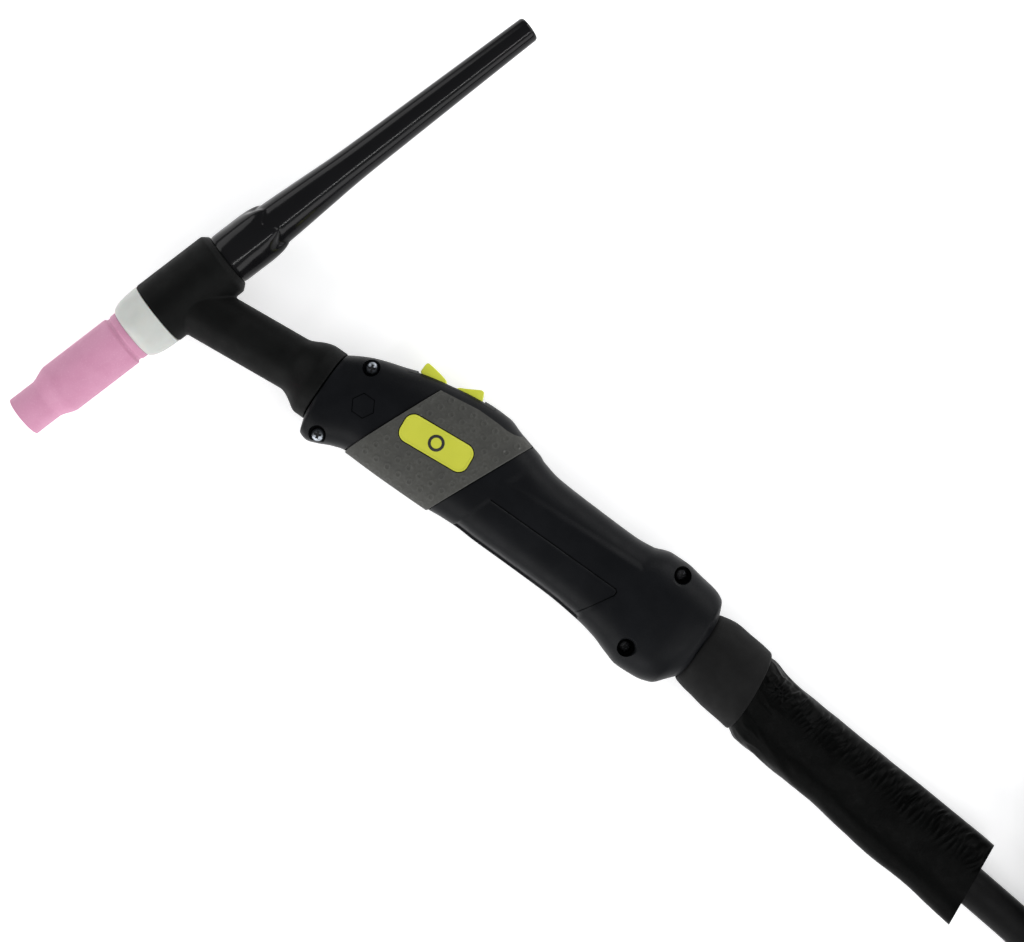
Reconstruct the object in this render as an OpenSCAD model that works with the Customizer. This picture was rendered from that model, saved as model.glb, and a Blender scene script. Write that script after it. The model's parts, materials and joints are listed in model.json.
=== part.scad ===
// TIG welding torch with its cable, lying on its side.
// X runs along the handle towards the cable, Y points to the back cap and the switch, Z is up.
// The origin lies on the electrode's axis, in the handle's parting plane. Lengths are millimetres.

/* [Head] */
// Angle from the handle's axis to the electrode's axis
head_angle = 72.5; // [70:0.5:75]
// Angle from the handle's axis to the neck's axis
neck_angle = 5; // [4:0.5:6]
// Outer diameter of the rubber head
head_d = 24; // [24:0.1:24.6]
// Outer diameter of the rubber neck
neck_d = 19.8; // [19:0.1:20.6]
// Bore of the collet, which is the electrode's diameter
electrode_d = 2.4; // [1.6:0.8:2.4]

/* [Nozzle] */
// Length of the ceramic nozzle
nozzle_len = 47; // [44:1:48]
// Outer diameter of the nozzle's body
nozzle_d = 19; // [18.8:0.1:19.4]
// Outer diameter of the nozzle's tip
nozzle_tip_d = 15; // [14:0.5:16]
// Diameter of the gas opening
nozzle_bore_d = 10.4; // [9.6:0.1:11]

/* [Back cap] */
// Length of the back cap outside the head
cap_len = 134; // [132:1:140]
// Diameter of the back cap's bulb
cap_d = 19.5; // [19:0.1:20]
// Diameter of the back cap at its tip
cap_tip_d = 9.3; // [9:0.1:9.6]

/* [Handle] */
// Thickness of the handle's wall
wall = 2.4; // [2:0.1:2.6]
// Diameter of the wells over the screws
well_d = 6.3; // [6:0.1:6.6]
// Thickness of the grey panel
panel_t = 0.7; // [0.5:0.1:1]

/* [Switch] */
// Width of the rocker between the bezel's walls
rocker_w = 10.4; // [9:0.2:10.6]
// Diameter of the rocker's pin
pin_d = 2.4; // [2:0.1:2.6]
// Distance from the rocker's pin to each plunger
plunger_arm = 7; // [6.8:0.1:7.2]

/* [Cable] */
// Diameter of the power and gas cable
cable_d = 14; // [13.6:0.1:14]
// Radius of the cable coil's outermost turn
coil_r = 108; // [106:1:110]
// Turns in each layer of the coil
coil_turns = 3.5; // [3:0.5:4]
// Diameter of the gas hose
gas_d = 6; // [5.5:0.1:6]
// Diameter of the control lead
control_d = 5; // [4.5:0.1:5]

/* [Hidden] */
$fn = 64;
eps = 0.05;

// Stretches along the electrode's axis, positive towards the back cap
nozzle_rear = -22;
seal_t = 0.8;
head_front = -9.4;
head_rear = 21.5;
// Stretches along the neck's axis
boss_end = 12;
tube_end = 66;

floor_z = -15.5;
handle_power = 2.6;
parting_gap = 0.02;

// Handle sections: x, lowest y, highest y, half thickness
HANDLE = [
    [60.8, -10.2, 17.5, 12.8], [62.5, -14.6, 18.6, 13], [65.5, -15.4, 20.3, 13.2],
    [69, -14.3, 22, 13.4], [74, -12, 23.8, 13.8], [79, -10.6, 25.3, 14.1],
    [86, -10.8, 27.6, 14.4], [96, -11, 29.8, 14.65], [106, -11, 31.4, 14.75],
    [114, -10.9, 32, 14.75], [120, -10.4, 31.8, 14.7], [126, -10.2, 30, 14.5],
    [134, -10.6, 27.9, 14.3], [147, -10.8, 24.8, 14.1], [165, -11.2, 23.9, 14],
    [180, -12.6, 23.5, 14.3], [188, -14.2, 24.3, 14.8], [194, -16.2, 25.9, 15.3],
    [200, -17.7, 26, 15.5], [207, -17.4, 25, 15.4], [213, -15.8, 24.1, 14.8],
    [217, -11.5, 22.4, 13.8], [219.5, -8.5, 17.5, 12]
];

// Boot and sleeve sections: x, centre y, centre z, half width, half thickness
BOOT = [
    [219.6, 3.8, 0, 13.6, 13], [226, 3.7, 0, 14.9, 14], [233, 2.6, 0, 15.5, 14.3],
    [240, 1.7, 0, 15.9, 14.5], [243.5, 1, 0, 16.2, 14.6]
];
SLEEVE = [
    [238, 1.5, 0, 13.4, 12.4], [244, 0.9, -0.4, 13.9, 12.6], [247.5, -0.3, -1, 15, 12.6],
    [254, -1.4, -1.8, 14.4, 12],
    [267, -2.3, -2.8, 14.9, 11.5], [282, -3.4, -3.8, 14.9, 11], [297, -5, -4.7, 15.6, 10.5],
    [310, -6.2, -5.1, 15.9, 10.2], [325, -7.2, -5.4, 16, 10], [346.4, -9.7, -5.6, 16.5, 9.8]
];
sleeve_wall = 1.5;
sleeve_shear = -0.09;

// Screw places: x, y, height of the seat under the head
FRONT_SCREWS = [[69.5, 19, 5.5], [67.4, -11.7, 5.5]];
REAR_SCREWS = [[201, 21.5, 4], [199.4, -10.6, 4]];
screw_head_h = 1.8;
screw_below = 9;

// Grey panel, corners in the plane of the handle
PANEL = [[77.7, -14], [96.6, 29.8], [133.8, 32], [113, -14]];
badge_at = [104.2, 10];
badge_size = [26.7, 10.2];
badge_tilt = 4.5;
badge_z = [14.8, 15.5];

// Rocker switch
pivot = [97, 25];
slot_x = [83.4, 110];
bezel_x = [81.6, 114];
bezel_w = 15;
bezel_wall = 1.9;
housing_y = [15.8, 21.7];

// Cable: routes from the sleeve to the coil and from the coil to the splitter
CABLE_INSIDE = [
    [73.2, 6.4, 0], [84, 7.1, 0], [96, 7, 0], [110, 6.3, 0], [126, 5.6, 0], [142, 5.2, 0],
    [160, 4.9, 0], [180, 4.6, 0], [200, 4.2, 0], [219, 3.7, 0], [236, 2.2, -0.3],
    [252, 0.4, -1.2], [270, -1.7, -2.9], [290, -4, -4.6], [310, -6.2, -5.7], [330, -8.2, -6.2],
    [346.4, -9.8, -6.4]
];
CABLE_LEAD = [
    [346.4, -9.8, -6.4], [358, -11, -7.1], [370, -12.3, -8], [384, -14.2, -8.5],
    [398, -16.3, -8.5], [412, -18.4, -8.5], [426, -20.3, -8.5], [440, -21.6, -8.5],
    [456, -22, -8.5]
];
CABLE_TAIL = [
    [456, -22, 5.5], [470, -22, 5.5], [484, -22.2, 4.6], [498, -22.8, 1.5], [512, -24, -3],
    [524, -25.2, -6.6], [536, -26, -8.3], [548, -26, -8.5]
];
GAS_TAIL = [
    [584, -14, -12.5], [598, -12, -12.5], [612, -7, -12.5], [625, 1, -12.5], [636, 12, -12.5],
    [643, 26, -12.5], [647, 41, -12.5], [648, 56, -12], [648, 70, -10.2], [648, 84, -7.6],
    [648, 96, -6.2], [648, 104, -6]
];
CONTROL_TAIL = [
    [584, -38, -13], [597, -39, -13], [610, -42, -13], [623, -46, -12.6], [636, -50, -10.8],
    [647, -52.5, -8], [658, -53.6, -6.4], [668, -54, -6.3]
];
coil_at = [456, 86];
coil_in_r = coil_r - coil_turns * cable_d - cable_d / 2;
coil_out_r = coil_r + cable_d / 2;
coil_h = 2 * cable_d;
tie_w = 12;
tie_t = 1.4;
splitter_x = [548, 584];
splitter_y = -26;
plug_z = -2.5;
plug_x = splitter_x[1];
gas_end = [648, 104, -6];
control_end = [668, -54, -6.3];

function signed_power(v, p) = sign(v) * pow(abs(v), p);

// A point of a superellipse section: s is x, centre y, centre z, half width, half thickness
function section_point(s, a, n, shear) =
    let (dy = s[3] * signed_power(cos(a), 2 / n))
    [s[0] + shear * dy, s[1] + dy, s[2] + s[4] * signed_power(sin(a), 2 / n)];

function section_of(h) = [h[0], (h[1] + h[2]) / 2, 0, (h[2] - h[1]) / 2, h[3]];

// The same sections with another size, and with the ends moved out by more
function grown(st, by, more) = [
    for (i = [0 : len(st) - 1])
        [st[i][0] + (i == 0 ? -more : i == len(st) - 1 ? more : 0),
         st[i][1], st[i][2], st[i][3] + by, st[i][4] + by]
];

// Closed skin over rings of equal length, from the first ring to the last
module skin(rings) {
    m = len(rings[0]);
    k = len(rings);
    sides = [
        for (i = [0 : k - 2], j = [0 : m - 1])
            let (a = i * m + j, b = i * m + (j + 1) % m)
            each [[a, a + m, b + m], [a, b + m, b]]
    ];
    first = [for (j = [0 : m - 1]) j];
    last = [for (j = [m - 1 : -1 : 0]) (k - 1) * m + j];
    polyhedron([for (r = rings) each r], concat(sides, [first, last]), 4);
}

module loft(st, sides, n = 2, shear = 0) {
    skin([for (s = st) [for (j = [0 : sides - 1]) section_point(s, 360 * j / sides, n, shear)]]);
}

function unit(v) = v / norm(v);

// Tube of radius r along a route
module tube(route, r, sides) {
    last = len(route) - 1;
    skin([
        for (i = [0 : last])
            let (t = unit(route[min(i + 1, last)] - route[max(i - 1, 0)]),
                 u = unit(cross([0, 0, 1], t)),
                 v = cross(t, u))
            [for (j = [0 : sides - 1])
                route[i] + r * (cos(360 * j / sides) * u + sin(360 * j / sides) * v)]
    ]);
}

// Places a part whose Z axis is the electrode's axis, h from the origin towards the cap
module on_head(h = 0) {
    rotate([0, 0, head_angle]) translate([h, 0, 0]) rotate([0, 90, 0]) children();
}

module on_neck(s = 0) {
    rotate([0, 0, neck_angle]) translate([s, 0, 0]) rotate([0, 90, 0]) children();
}

// Places a part whose Z axis points along +X
module along_x(at) {
    translate(at) rotate([0, 90, 0]) children();
}

// Places a part whose Z axis points along +Y
module along_y(at) {
    translate(at) rotate([-90, 0, 0]) children();
}

module ring(r_out, r_in, h) {
    difference() {
        cylinder(h = h, r = r_out);
        translate([0, 0, -1]) cylinder(h = h + 2, r = r_in);
    }
}

// ---- Front end ----

module gas_nozzle() {
    r = nozzle_d / 2;
    tip = nozzle_tip_d / 2;
    bore = nozzle_bore_d / 2;
    color([0.78, 0.56, 0.67]) on_head(nozzle_rear) rotate_extrude() polygon([
        [bore, -nozzle_len], [tip - 0.4, -nozzle_len], [tip, -nozzle_len + 0.4],
        [tip, 10.6 - nozzle_len], [tip + 0.4, 12 - nozzle_len], [r - 0.4, 14.7 - nozzle_len],
        [r, 16.2 - nozzle_len], [r, -3.2], [r - 0.7, -2.7], [r - 0.7, -1.7], [r - 0.1, -1.2],
        [r - 0.1, 0], [7, 0], [7, -12], [6.4, -13], [bore, -30]
    ]);
}

module nozzle_seal() {
    color("dimgray") on_head(nozzle_rear + 0.05) ring(9, 7.2, seal_t - 0.1);
}

module collet_body() {
    color([0.72, 0.45, 0.25]) on_head() difference() {
        rotate_extrude() polygon([
            [1.5, -52], [3.2, -52], [4.5, -48], [4.5, -34], [6.88, -33.8], [6.88, -23.5],
            [4.95, -23.5], [4.95, -1], [2.15, -1], [2.15, -50], [1.5, -50]
        ]);
        for (a = [0, 90]) translate([0, 0, -40]) rotate([90, 0, a])
            cylinder(h = 12, r = 1, center = true, $fn = 24);
    }
}

module collet() {
    color([0.76, 0.5, 0.3]) on_head() difference() {
        translate([0, 0, -49.5]) cylinder(h = 62.8, r = 2.1);
        translate([0, 0, -51]) cylinder(h = 66, r = electrode_d / 2);
        for (a = [0, 90]) rotate([0, 0, a]) translate([-3, -0.2, -50]) cube([6, 0.4, 22]);
    }
}

module insulator() {
    color([0.83, 0.84, 0.82]) on_head() rotate_extrude() polygon([
        [5.2, nozzle_rear + seal_t], [8.9, nozzle_rear + seal_t], [10.1, -20.4], [10.9, -18.8],
        [11.4, -17], [11.75, -14], [11.95, -11], [12, head_front - eps], [5.2, head_front - eps]
    ]);
}

module head_core() {
    color([0.72, 0.45, 0.25]) difference() {
        union() {
            on_head(head_front) cylinder(h = head_rear - 1.5 - head_front, r = 8);
            on_neck() cylinder(h = boss_end, r = 5.5);
        }
        on_head(head_front - 1) cylinder(h = 15, r = 5);
        on_head(4) cylinder(h = 20, r = 6.2);
        on_neck() cylinder(h = boss_end + 1, r = 3.5);
    }
}

module neck_tube() {
    color([0.72, 0.45, 0.25]) on_neck(boss_end) ring(5, 3.5, tube_end - boss_end);
}

module head_cover() {
    r = head_d / 2;
    color([0.1, 0.1, 0.1]) difference() {
        union() {
            on_head() rotate_extrude() polygon([
                [0, head_front], [r - 0.3, head_front], [r, head_front + 0.6],
                [r, head_rear - 2.4], [r - 1.9, head_rear], [0, head_rear]
            ]);
            on_neck() cylinder(h = 49, r = neck_d / 2);
            hull() {
                on_neck(48) cylinder(h = 0.5, r = neck_d / 2 - 0.05, $fn = 40);
                along_x([56.5, 3.7, 0]) cylinder(h = 4.1, r = 13.7, $fn = 40);
            }
            on_neck(58) cylinder(h = 6, r = 8.5);
        }
        on_head(head_front - 1) cylinder(h = head_rear - 0.5 - head_front, r = 8.02);
        on_head(0) cylinder(h = head_rear + 1, r = 7);
        on_neck() cylinder(h = boss_end + eps, r = 5.52);
        on_neck() cylinder(h = tube_end, r = 5.02);
    }
}

// ---- Back cap ----

module back_cap() {
    r = cap_d / 2;
    color([0.06, 0.06, 0.06]) on_head(head_rear) rotate_extrude() polygon([
        [2.6, -13], [6.02, -13], [6.02, -3.7], [4.7, -3.7], [4.7, -1.7], [6.02, -1.7],
        [6.02, 0.1], [r - 0.3, 0.1], [r, 0.6], [r, 12], [r - 0.35, 15], [8.7, 18], [8.3, 22],
        [7.9, 27], [7.4, 35], [6.9, 43], [6.4, 51], [6.05, 60], [5.75, 74], [5.45, 90],
        [5.1, 108], [4.85, 122], [cap_tip_d / 2, cap_len - 0.8], [cap_tip_d / 2 - 0.5, cap_len],
        [0, cap_len], [0, 126], [1.6, 125], [1.6, -8], [2.6, -8]
    ]);
}

module cap_seal() {
    color("dimgray") on_head(head_rear - 2.7) rotate_extrude()
        translate([5.42, 0]) circle(r = 0.6, $fn = 24);
}

// ---- Handle ----

module handle_form(by, more) {
    loft(grown([for (h = HANDLE) section_of(h)], by, more), 24, handle_power);
}

module screw_posts() {
    for (s = FRONT_SCREWS) translate([s[0], s[1], -14]) cylinder(h = 28, r = 4.2, $fn = 32);
    for (s = REAR_SCREWS) translate([s[0], s[1], -14]) cylinder(h = 28, r = 4.8, $fn = 32);
}

// One half of the handle: side is 1 for the top half and -1 for the bottom half
module handle_shell(side) {
    color([0.1, 0.105, 0.11]) difference() {
        handle_form(0, 0);
        difference() {
            handle_form(-wall, 1);
            screw_posts();
        }
        translate([50, -40, side > 0 ? -40 : -parting_gap]) cube([180, 90, 40]);
        translate([bezel_x[0] - 0.1, 21.6, -bezel_w / 2 - 0.1])
            cube([bezel_x[1] - bezel_x[0] + 0.2, 20, bezel_w + 0.2]);
        for (s = concat(FRONT_SCREWS, REAR_SCREWS)) {
            if (side > 0) {
                translate([s[0], s[1], s[2]]) cylinder(h = 20, r = well_d / 2);
                translate([s[0], s[1], -1]) cylinder(h = 20, r = 1.7, $fn = 32);
            } else {
                translate([s[0], s[1], -screw_below]) cylinder(h = 20, r = 1.52, $fn = 32);
            }
        }
    }
}

module handle_shell_top() handle_shell(1);
module handle_shell_bottom() handle_shell(-1);

module screw(at) {
    translate(at) difference() {
        union() {
            translate([0, 0, 0.02]) cylinder(h = screw_head_h, r1 = 2.7, r2 = 2.4);
            translate([0, 0, -at[2] - screw_below + 1])
                cylinder(h = at[2] + screw_below - 0.9, r = 1.5, $fn = 32);
        }
        for (a = [0, 90]) rotate([0, 0, a]) translate([-1.5, -0.3, 0.9]) cube([3, 0.6, 2]);
    }
}

module front_screws() {
    color([0.75, 0.76, 0.78]) for (s = FRONT_SCREWS) screw(s);
}

module rear_screws() {
    color([0.3, 0.31, 0.33]) for (s = REAR_SCREWS) screw(s);
}

// The panel is the stretch of skin above its four corners
module grip_panel(side) {
    color([0.29, 0.29, 0.27]) difference() {
        intersection() {
            handle_form(panel_t, 0);
            translate([0, 0, side > 0 ? 3 : -23]) linear_extrude(20) polygon(PANEL);
        }
        handle_form(eps, 1);
        translate([bezel_x[0] - 0.1, 21.6, -bezel_w / 2 - 0.1])
            cube([bezel_x[1] - bezel_x[0] + 0.2, 20, bezel_w + 0.2]);
        translate([0, 0, side > 0 ? 0 : -20]) linear_extrude(20) badge_outline(eps);
    }
}

module grip_panel_top() grip_panel(1);
module grip_panel_bottom() grip_panel(-1);

// Rounded rectangle of the badge, larger by more on each side
module badge_outline(more) {
    r = 3.5;
    w = badge_size[0] + 2 * more;
    h = badge_size[1] + 2 * more;
    translate(badge_at) rotate([0, 0, badge_tilt]) union() {
        square([w - 2 * r, h], center = true);
        square([w, h - 2 * r], center = true);
        for (x = [-1, 1], y = [-1, 1]) translate([x * (w / 2 - r), y * (h / 2 - r)]) circle(r = r);
    }
}

// The badge fills the panel's window and is flush with it
module badge(side) {
    color([0.77, 0.78, 0.26]) translate([0, 0, side > 0 ? badge_z[0] : -badge_z[1]])
        linear_extrude(badge_z[1] - badge_z[0]) badge_outline(0);
}

module badge_top() badge(1);
module badge_bottom() badge(-1);

// ---- Switch ----

module switch_bezel() {
    slot_w = bezel_w - 2 * bezel_wall;
    color([0.1, 0.1, 0.1]) difference() {
        translate([0, 0, -bezel_w / 2]) linear_extrude(bezel_w) polygon([
            [bezel_x[0], 21.8], [bezel_x[1], 21.8], [bezel_x[1], 32.3], [107, 31.8], [98, 30.5],
            [91, 29], [86, 28], [bezel_x[0], 26.7]
        ]);
        translate([slot_x[0], 20, -slot_w / 2]) cube([slot_x[1] - slot_x[0], 20, slot_w]);
        translate([pivot[0], pivot[1], 0]) cylinder(h = 30, r = pin_d / 2 + 0.02, center = true);
    }
}

module rocker_button() {
    color([0.78, 0.8, 0.25]) difference() {
        translate([0, 0, -rocker_w / 2]) union() {
            linear_extrude(rocker_w) polygon([
                [84.9, 27.2], [84.6, 30.9], [85.4, 31.7], [91, 31.3], [95.3, 29.9], [97, 29.2],
                [98.8, 30.4], [106.3, 34.6], [107.3, 34.4], [108.6, 31.4], [108.6, 28.4],
                [106.5, 25.9], [87.5, 25.9]
            ]);
            translate([pivot[0], pivot[1], 0]) cylinder(h = rocker_w, r = 2.7);
        }
        translate([pivot[0], pivot[1], 0]) cylinder(h = 30, r = pin_d / 2 + 0.05, center = true);
    }
}

module rocker_pin() {
    color("silver") translate([pivot[0], pivot[1], 0])
        cylinder(h = bezel_w - 0.4, r = pin_d / 2, center = true);
}

module switch_housing() {
    color([0.15, 0.15, 0.17]) difference() {
        translate([86, housing_y[0], -5]) cube([22, housing_y[1] - housing_y[0], 10]);
        for (x = [-plunger_arm, plunger_arm])
            along_y([pivot[0] + x, housing_y[0] + 1, 0]) cylinder(h = 10, r = 1.2);
    }
}

module plunger(x) {
    color("white") along_y([x, 17.6, 0]) cylinder(h = 8, r = 1.1);
}

module front_plunger() plunger(pivot[0] - plunger_arm);
module rear_plunger() plunger(pivot[0] + plunger_arm);

module switch_board() {
    color([0.1, 0.35, 0.2]) translate([84, housing_y[0] - 0.8, -6.5]) cube([28, 0.79, 13]);
}

module switch_leads() {
    color([0.6, 0.12, 0.1]) for (z = [-3.5, 3.5]) tube([
        [112, 15.3, z], [120, 15.2, z], [130, 15, z], [145, 14.6, z], [165, 14.2, z],
        [185, 14, z], [202, 13.9, z]
    ], 0.8, 8);
}

module hose_nipple() {
    color([0.8, 0.62, 0.3]) on_neck(tube_end) difference() {
        cylinder(h = 6.9, r = 7.5, $fn = 6);
        translate([0, 0, -1]) cylinder(h = 10, r = 3.5);
    }
}

// ---- Cable, boot and sleeve ----

module hose_ferrule() {
    color("silver") on_neck(tube_end + 7.4) ring(8.1, 7.35, 8.6);
}

module inner_cable() {
    color([0.07, 0.07, 0.07]) tube(CABLE_INSIDE, cable_d / 2, 12);
}

module cable_clamp() {
    color([0.2, 0.2, 0.2]) along_x([204, 4.1, 0]) ring(9.6, 7.3, 8);
}

module cable_boot() {
    color([0.12, 0.12, 0.12]) difference() {
        union() {
            loft(BOOT, 32);
            along_x([213.8, 3.8, 0]) cylinder(h = 8, r = 9);
            along_x([213.8, 3.8, 0]) cylinder(h = 2.2, r = 10.6);
        }
        loft([[212, 4.1, 0, 7.6, 7.4], [221, 3.6, 0, 7.6, 7.4], [228, 2.6, 0, 10, 9.8],
              [236, 1.6, 0, 14.1, 12.9], [245, 0.9, -0.2, 14.7, 13.3]], 32);
    }
}

module sleeve_ring() {
    color([0.25, 0.25, 0.25]) difference() {
        loft([[239, 1.4, -0.1, 11.5, 10.2], [242.4, 1.1, -0.3, 11.7, 10.3]], 32);
        loft([[237, 1.5, 0, 10.6, 9.3], [244, 1, -0.4, 10.8, 9.4]], 32);
    }
}

module leather_sleeve() {
    color([0.06, 0.06, 0.06]) difference() {
        loft(SLEEVE, 24, 2.2, sleeve_shear);
        loft(grown(SLEEVE, -sleeve_wall, 2), 24, 2.2, sleeve_shear);
    }
}

module cable_lead() {
    color([0.07, 0.07, 0.07]) tube(CABLE_LEAD, cable_d / 2, 12);
}

module cable_tail() {
    color([0.07, 0.07, 0.07]) tube(CABLE_TAIL, cable_d / 2, 12);
}

module cable_coil() {
    c = 4;
    color([0.07, 0.07, 0.07]) translate([coil_at[0], coil_at[1], floor_z]) rotate_extrude($fn = 96)
        polygon([
            [coil_in_r + c, 0], [coil_out_r - c, 0], [coil_out_r, c], [coil_out_r, coil_h - c],
            [coil_out_r - c, coil_h], [coil_in_r + c, coil_h], [coil_in_r, coil_h - c],
            [coil_in_r, c]
        ]);
}

module coil_tie() {
    w = coil_out_r - coil_in_r;
    color([0.15, 0.15, 0.15]) translate([coil_at[0], coil_at[1], floor_z]) rotate([0, 0, 140])
        difference() {
            translate([coil_in_r - tie_t, -tie_w / 2, 0])
                cube([w + 2 * tie_t, tie_w, coil_h + tie_t]);
            translate([coil_in_r, -tie_w / 2 - 1, tie_t]) cube([w, tie_w + 2, coil_h - tie_t]);
        }
}

// ---- Splitter, plugs and tails ----

module cable_splitter() {
    len_x = splitter_x[1] - splitter_x[0];
    color([0.1, 0.1, 0.1]) translate([splitter_x[0], splitter_y, floor_z]) hull() {
        translate([0, 0, 8]) rotate([0, 90, 0]) cylinder(h = 2, r = 8, $fn = 32);
        for (y = [-13, 13], z = [3.5, 18.5])
            translate([14, y, z]) rotate([0, 90, 0]) cylinder(h = len_x - 14, r = 3.5, $fn = 24);
    }
}

module power_plug_body() {
    color([0.1, 0.1, 0.1]) along_x([plug_x, splitter_y, plug_z]) difference() {
        rotate_extrude() polygon([
            [0, 0.02], [7.5, 0.02], [9, 24], [12.2, 28], [13, 32], [13, 62], [12.2, 64], [0, 64]
        ]);
        translate([0, 0, 44]) cylinder(h = 30, r = 6.02);
    }
}

module power_plug_pin() {
    color([0.8, 0.62, 0.3]) along_x([plug_x + 44, splitter_y, plug_z]) union() {
        cylinder(h = 20, r = 6);
        translate([0, 0, 20]) cylinder(h = 4, r = 6.2);
        translate([0, 0, 24]) cylinder(h = 22, r = 6.5);
        translate([0, 0, 46]) cylinder(h = 1.5, r1 = 6.5, r2 = 5);
        translate([-8.2, -1.75, 20.05]) cube([3, 3.5, 3.7]);
    }
}

module gas_tail() {
    color([0.09, 0.09, 0.09]) tube(GAS_TAIL, gas_d / 2, 10);
}

module gas_fitting() {
    color([0.8, 0.62, 0.3]) along_y(gas_end) difference() {
        rotate_extrude() polygon([
            [0, 0.02], [3.1, 0.02], [3.1, -9], [4, -9], [4, 7], [5.9, 7.4], [5.9, 8.6],
            [3.4, 10.6], [0, 10.6]
        ]);
        translate([0, 0, -1]) cylinder(h = 14, r = 1.8, $fn = 32);
    }
}

module gas_nut() {
    color([0.82, 0.66, 0.34]) along_y(gas_end + [0, 3, 0]) difference() {
        cylinder(h = 15, r = 9.2, $fn = 6);
        translate([0, 0, -1]) cylinder(h = 20, r = 4.3);
        translate([0, 0, 3]) cylinder(h = 20, r = 6.6);
        translate([0, 0, 3]) cylinder(h = 5.5, r = 6.9);
    }
}

module control_tail() {
    color([0.09, 0.09, 0.09]) tube(CONTROL_TAIL, control_d / 2, 8);
}

module control_plug_shell() {
    color([0.14, 0.14, 0.15]) along_x(control_end) difference() {
        rotate_extrude() polygon([
            [0, 0.02], [3.4, 0.02], [4.4, 12], [6.4, 15], [6.4, 30], [0, 30]
        ]);
        translate([0, 0, 27]) cylinder(h = 6, r = 5.4);
    }
}

module control_plug_pins() {
    color([0.85, 0.7, 0.35]) along_x(control_end) for (a = [0 : 72 : 288])
        rotate([0, 0, a]) translate([3, 0, 25.5]) difference() {
            cylinder(h = 10, r = 0.6, $fn = 24);
            translate([-1, -1, -1]) cube([2, 2, 2.52]);
        }
}

module control_plug_ring() {
    color([0.55, 0.56, 0.58]) along_x(control_end + [19, 0, 0]) ring(9, 6.8, 18);
}

gas_nozzle();
nozzle_seal();
collet_body();
collet();
insulator();
head_core();
neck_tube();
head_cover();
back_cap();
cap_seal();
handle_shell_top();
handle_shell_bottom();
front_screws();
rear_screws();
grip_panel_top();
grip_panel_bottom();
badge_top();
badge_bottom();
switch_bezel();
rocker_button();
rocker_pin();
switch_housing();
front_plunger();
rear_plunger();
switch_board();
switch_leads();
hose_nipple();
hose_ferrule();
inner_cable();
cable_clamp();
cable_boot();
sleeve_ring();
leather_sleeve();
cable_lead();
cable_coil();
coil_tie();
cable_tail();
cable_splitter();
power_plug_body();
power_plug_pin();
gas_tail();
gas_fitting();
gas_nut();
control_tail();
control_plug_shell();
control_plug_pins();
control_plug_ring();
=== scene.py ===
# TIG torch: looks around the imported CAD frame. Everything is in metres, in the frame of the CAD.
import json
import math
import random

import bmesh
import bpy
import numpy as np
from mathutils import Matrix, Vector


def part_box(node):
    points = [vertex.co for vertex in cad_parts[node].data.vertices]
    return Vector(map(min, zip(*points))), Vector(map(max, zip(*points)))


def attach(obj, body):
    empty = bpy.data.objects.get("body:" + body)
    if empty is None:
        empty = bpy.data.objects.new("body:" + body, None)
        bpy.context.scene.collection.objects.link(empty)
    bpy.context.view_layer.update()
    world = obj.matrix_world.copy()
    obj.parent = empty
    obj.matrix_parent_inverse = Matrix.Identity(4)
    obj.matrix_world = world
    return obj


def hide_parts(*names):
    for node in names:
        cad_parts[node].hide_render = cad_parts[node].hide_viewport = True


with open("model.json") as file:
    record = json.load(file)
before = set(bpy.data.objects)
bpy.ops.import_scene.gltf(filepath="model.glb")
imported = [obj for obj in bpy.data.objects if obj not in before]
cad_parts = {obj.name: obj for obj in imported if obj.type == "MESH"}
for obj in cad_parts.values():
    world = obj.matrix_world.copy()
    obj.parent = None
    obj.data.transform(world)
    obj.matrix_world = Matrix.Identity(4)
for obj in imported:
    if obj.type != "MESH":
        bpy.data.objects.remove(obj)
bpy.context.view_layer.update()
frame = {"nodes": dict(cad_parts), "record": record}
NODES = frame["nodes"]
RECORD = frame["record"]
MM = 0.001

MOUNTS = {m["name"]: m for m in RECORD["mounts"]}
HEAD = -Vector(MOUNTS["electrode_bore"]["axis"]).normalized()  # towards the back cap
NECK_ANGLE = math.radians(5)
NECK = Vector((math.cos(NECK_ANGLE), math.sin(NECK_ANGLE), 0))
UP, ALONG, SIDEWAYS = Vector((0, 0, 1)), (1, 0, 0), (0, 1, 0)
FLOOR_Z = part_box("cable_coil")[0][2]

# ---------------- camera, floor and light

VIEW_CENTRE = Vector((131, 17.1, 0)) * MM
VIEW_TURN = math.radians(35)
VIEW_WIDTH = 360.4 * MM
CAMERA_HEIGHT = 640 * MM
SENSOR = 36.0


def new_object(name, data):
    obj = bpy.data.objects.new(name, data)
    bpy.context.scene.collection.objects.link(obj)
    return obj


def make_camera():
    data = bpy.data.cameras.new("camera")
    data.sensor_width = SENSOR
    data.lens = SENSOR * CAMERA_HEIGHT / VIEW_WIDTH
    data.clip_start = 0.01
    camera = new_object("camera", data)
    camera.location = VIEW_CENTRE + UP * CAMERA_HEIGHT
    camera.rotation_euler = (0, 0, VIEW_TURN)
    bpy.context.scene.camera = camera


def picture_direction(right, up):
    """A direction in the plane of the picture, in the CAD's frame."""
    c, s = math.cos(VIEW_TURN), math.sin(VIEW_TURN)
    return Vector((c * right - s * up, s * right + c * up, 0))


def area_light(name, right, up, height, size, power):
    """A soft panel aimed at the middle of the torch. right, up and height are metres from it."""
    data = bpy.data.lights.new(name, "AREA")
    data.shape = "RECTANGLE"
    data.size, data.size_y = size
    data.energy = power
    light = new_object(name, data)
    light.location = VIEW_CENTRE + picture_direction(right, up) + UP * height
    light.rotation_euler = (VIEW_CENTRE - light.location).to_track_quat("-Z", "Y").to_euler()


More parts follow.
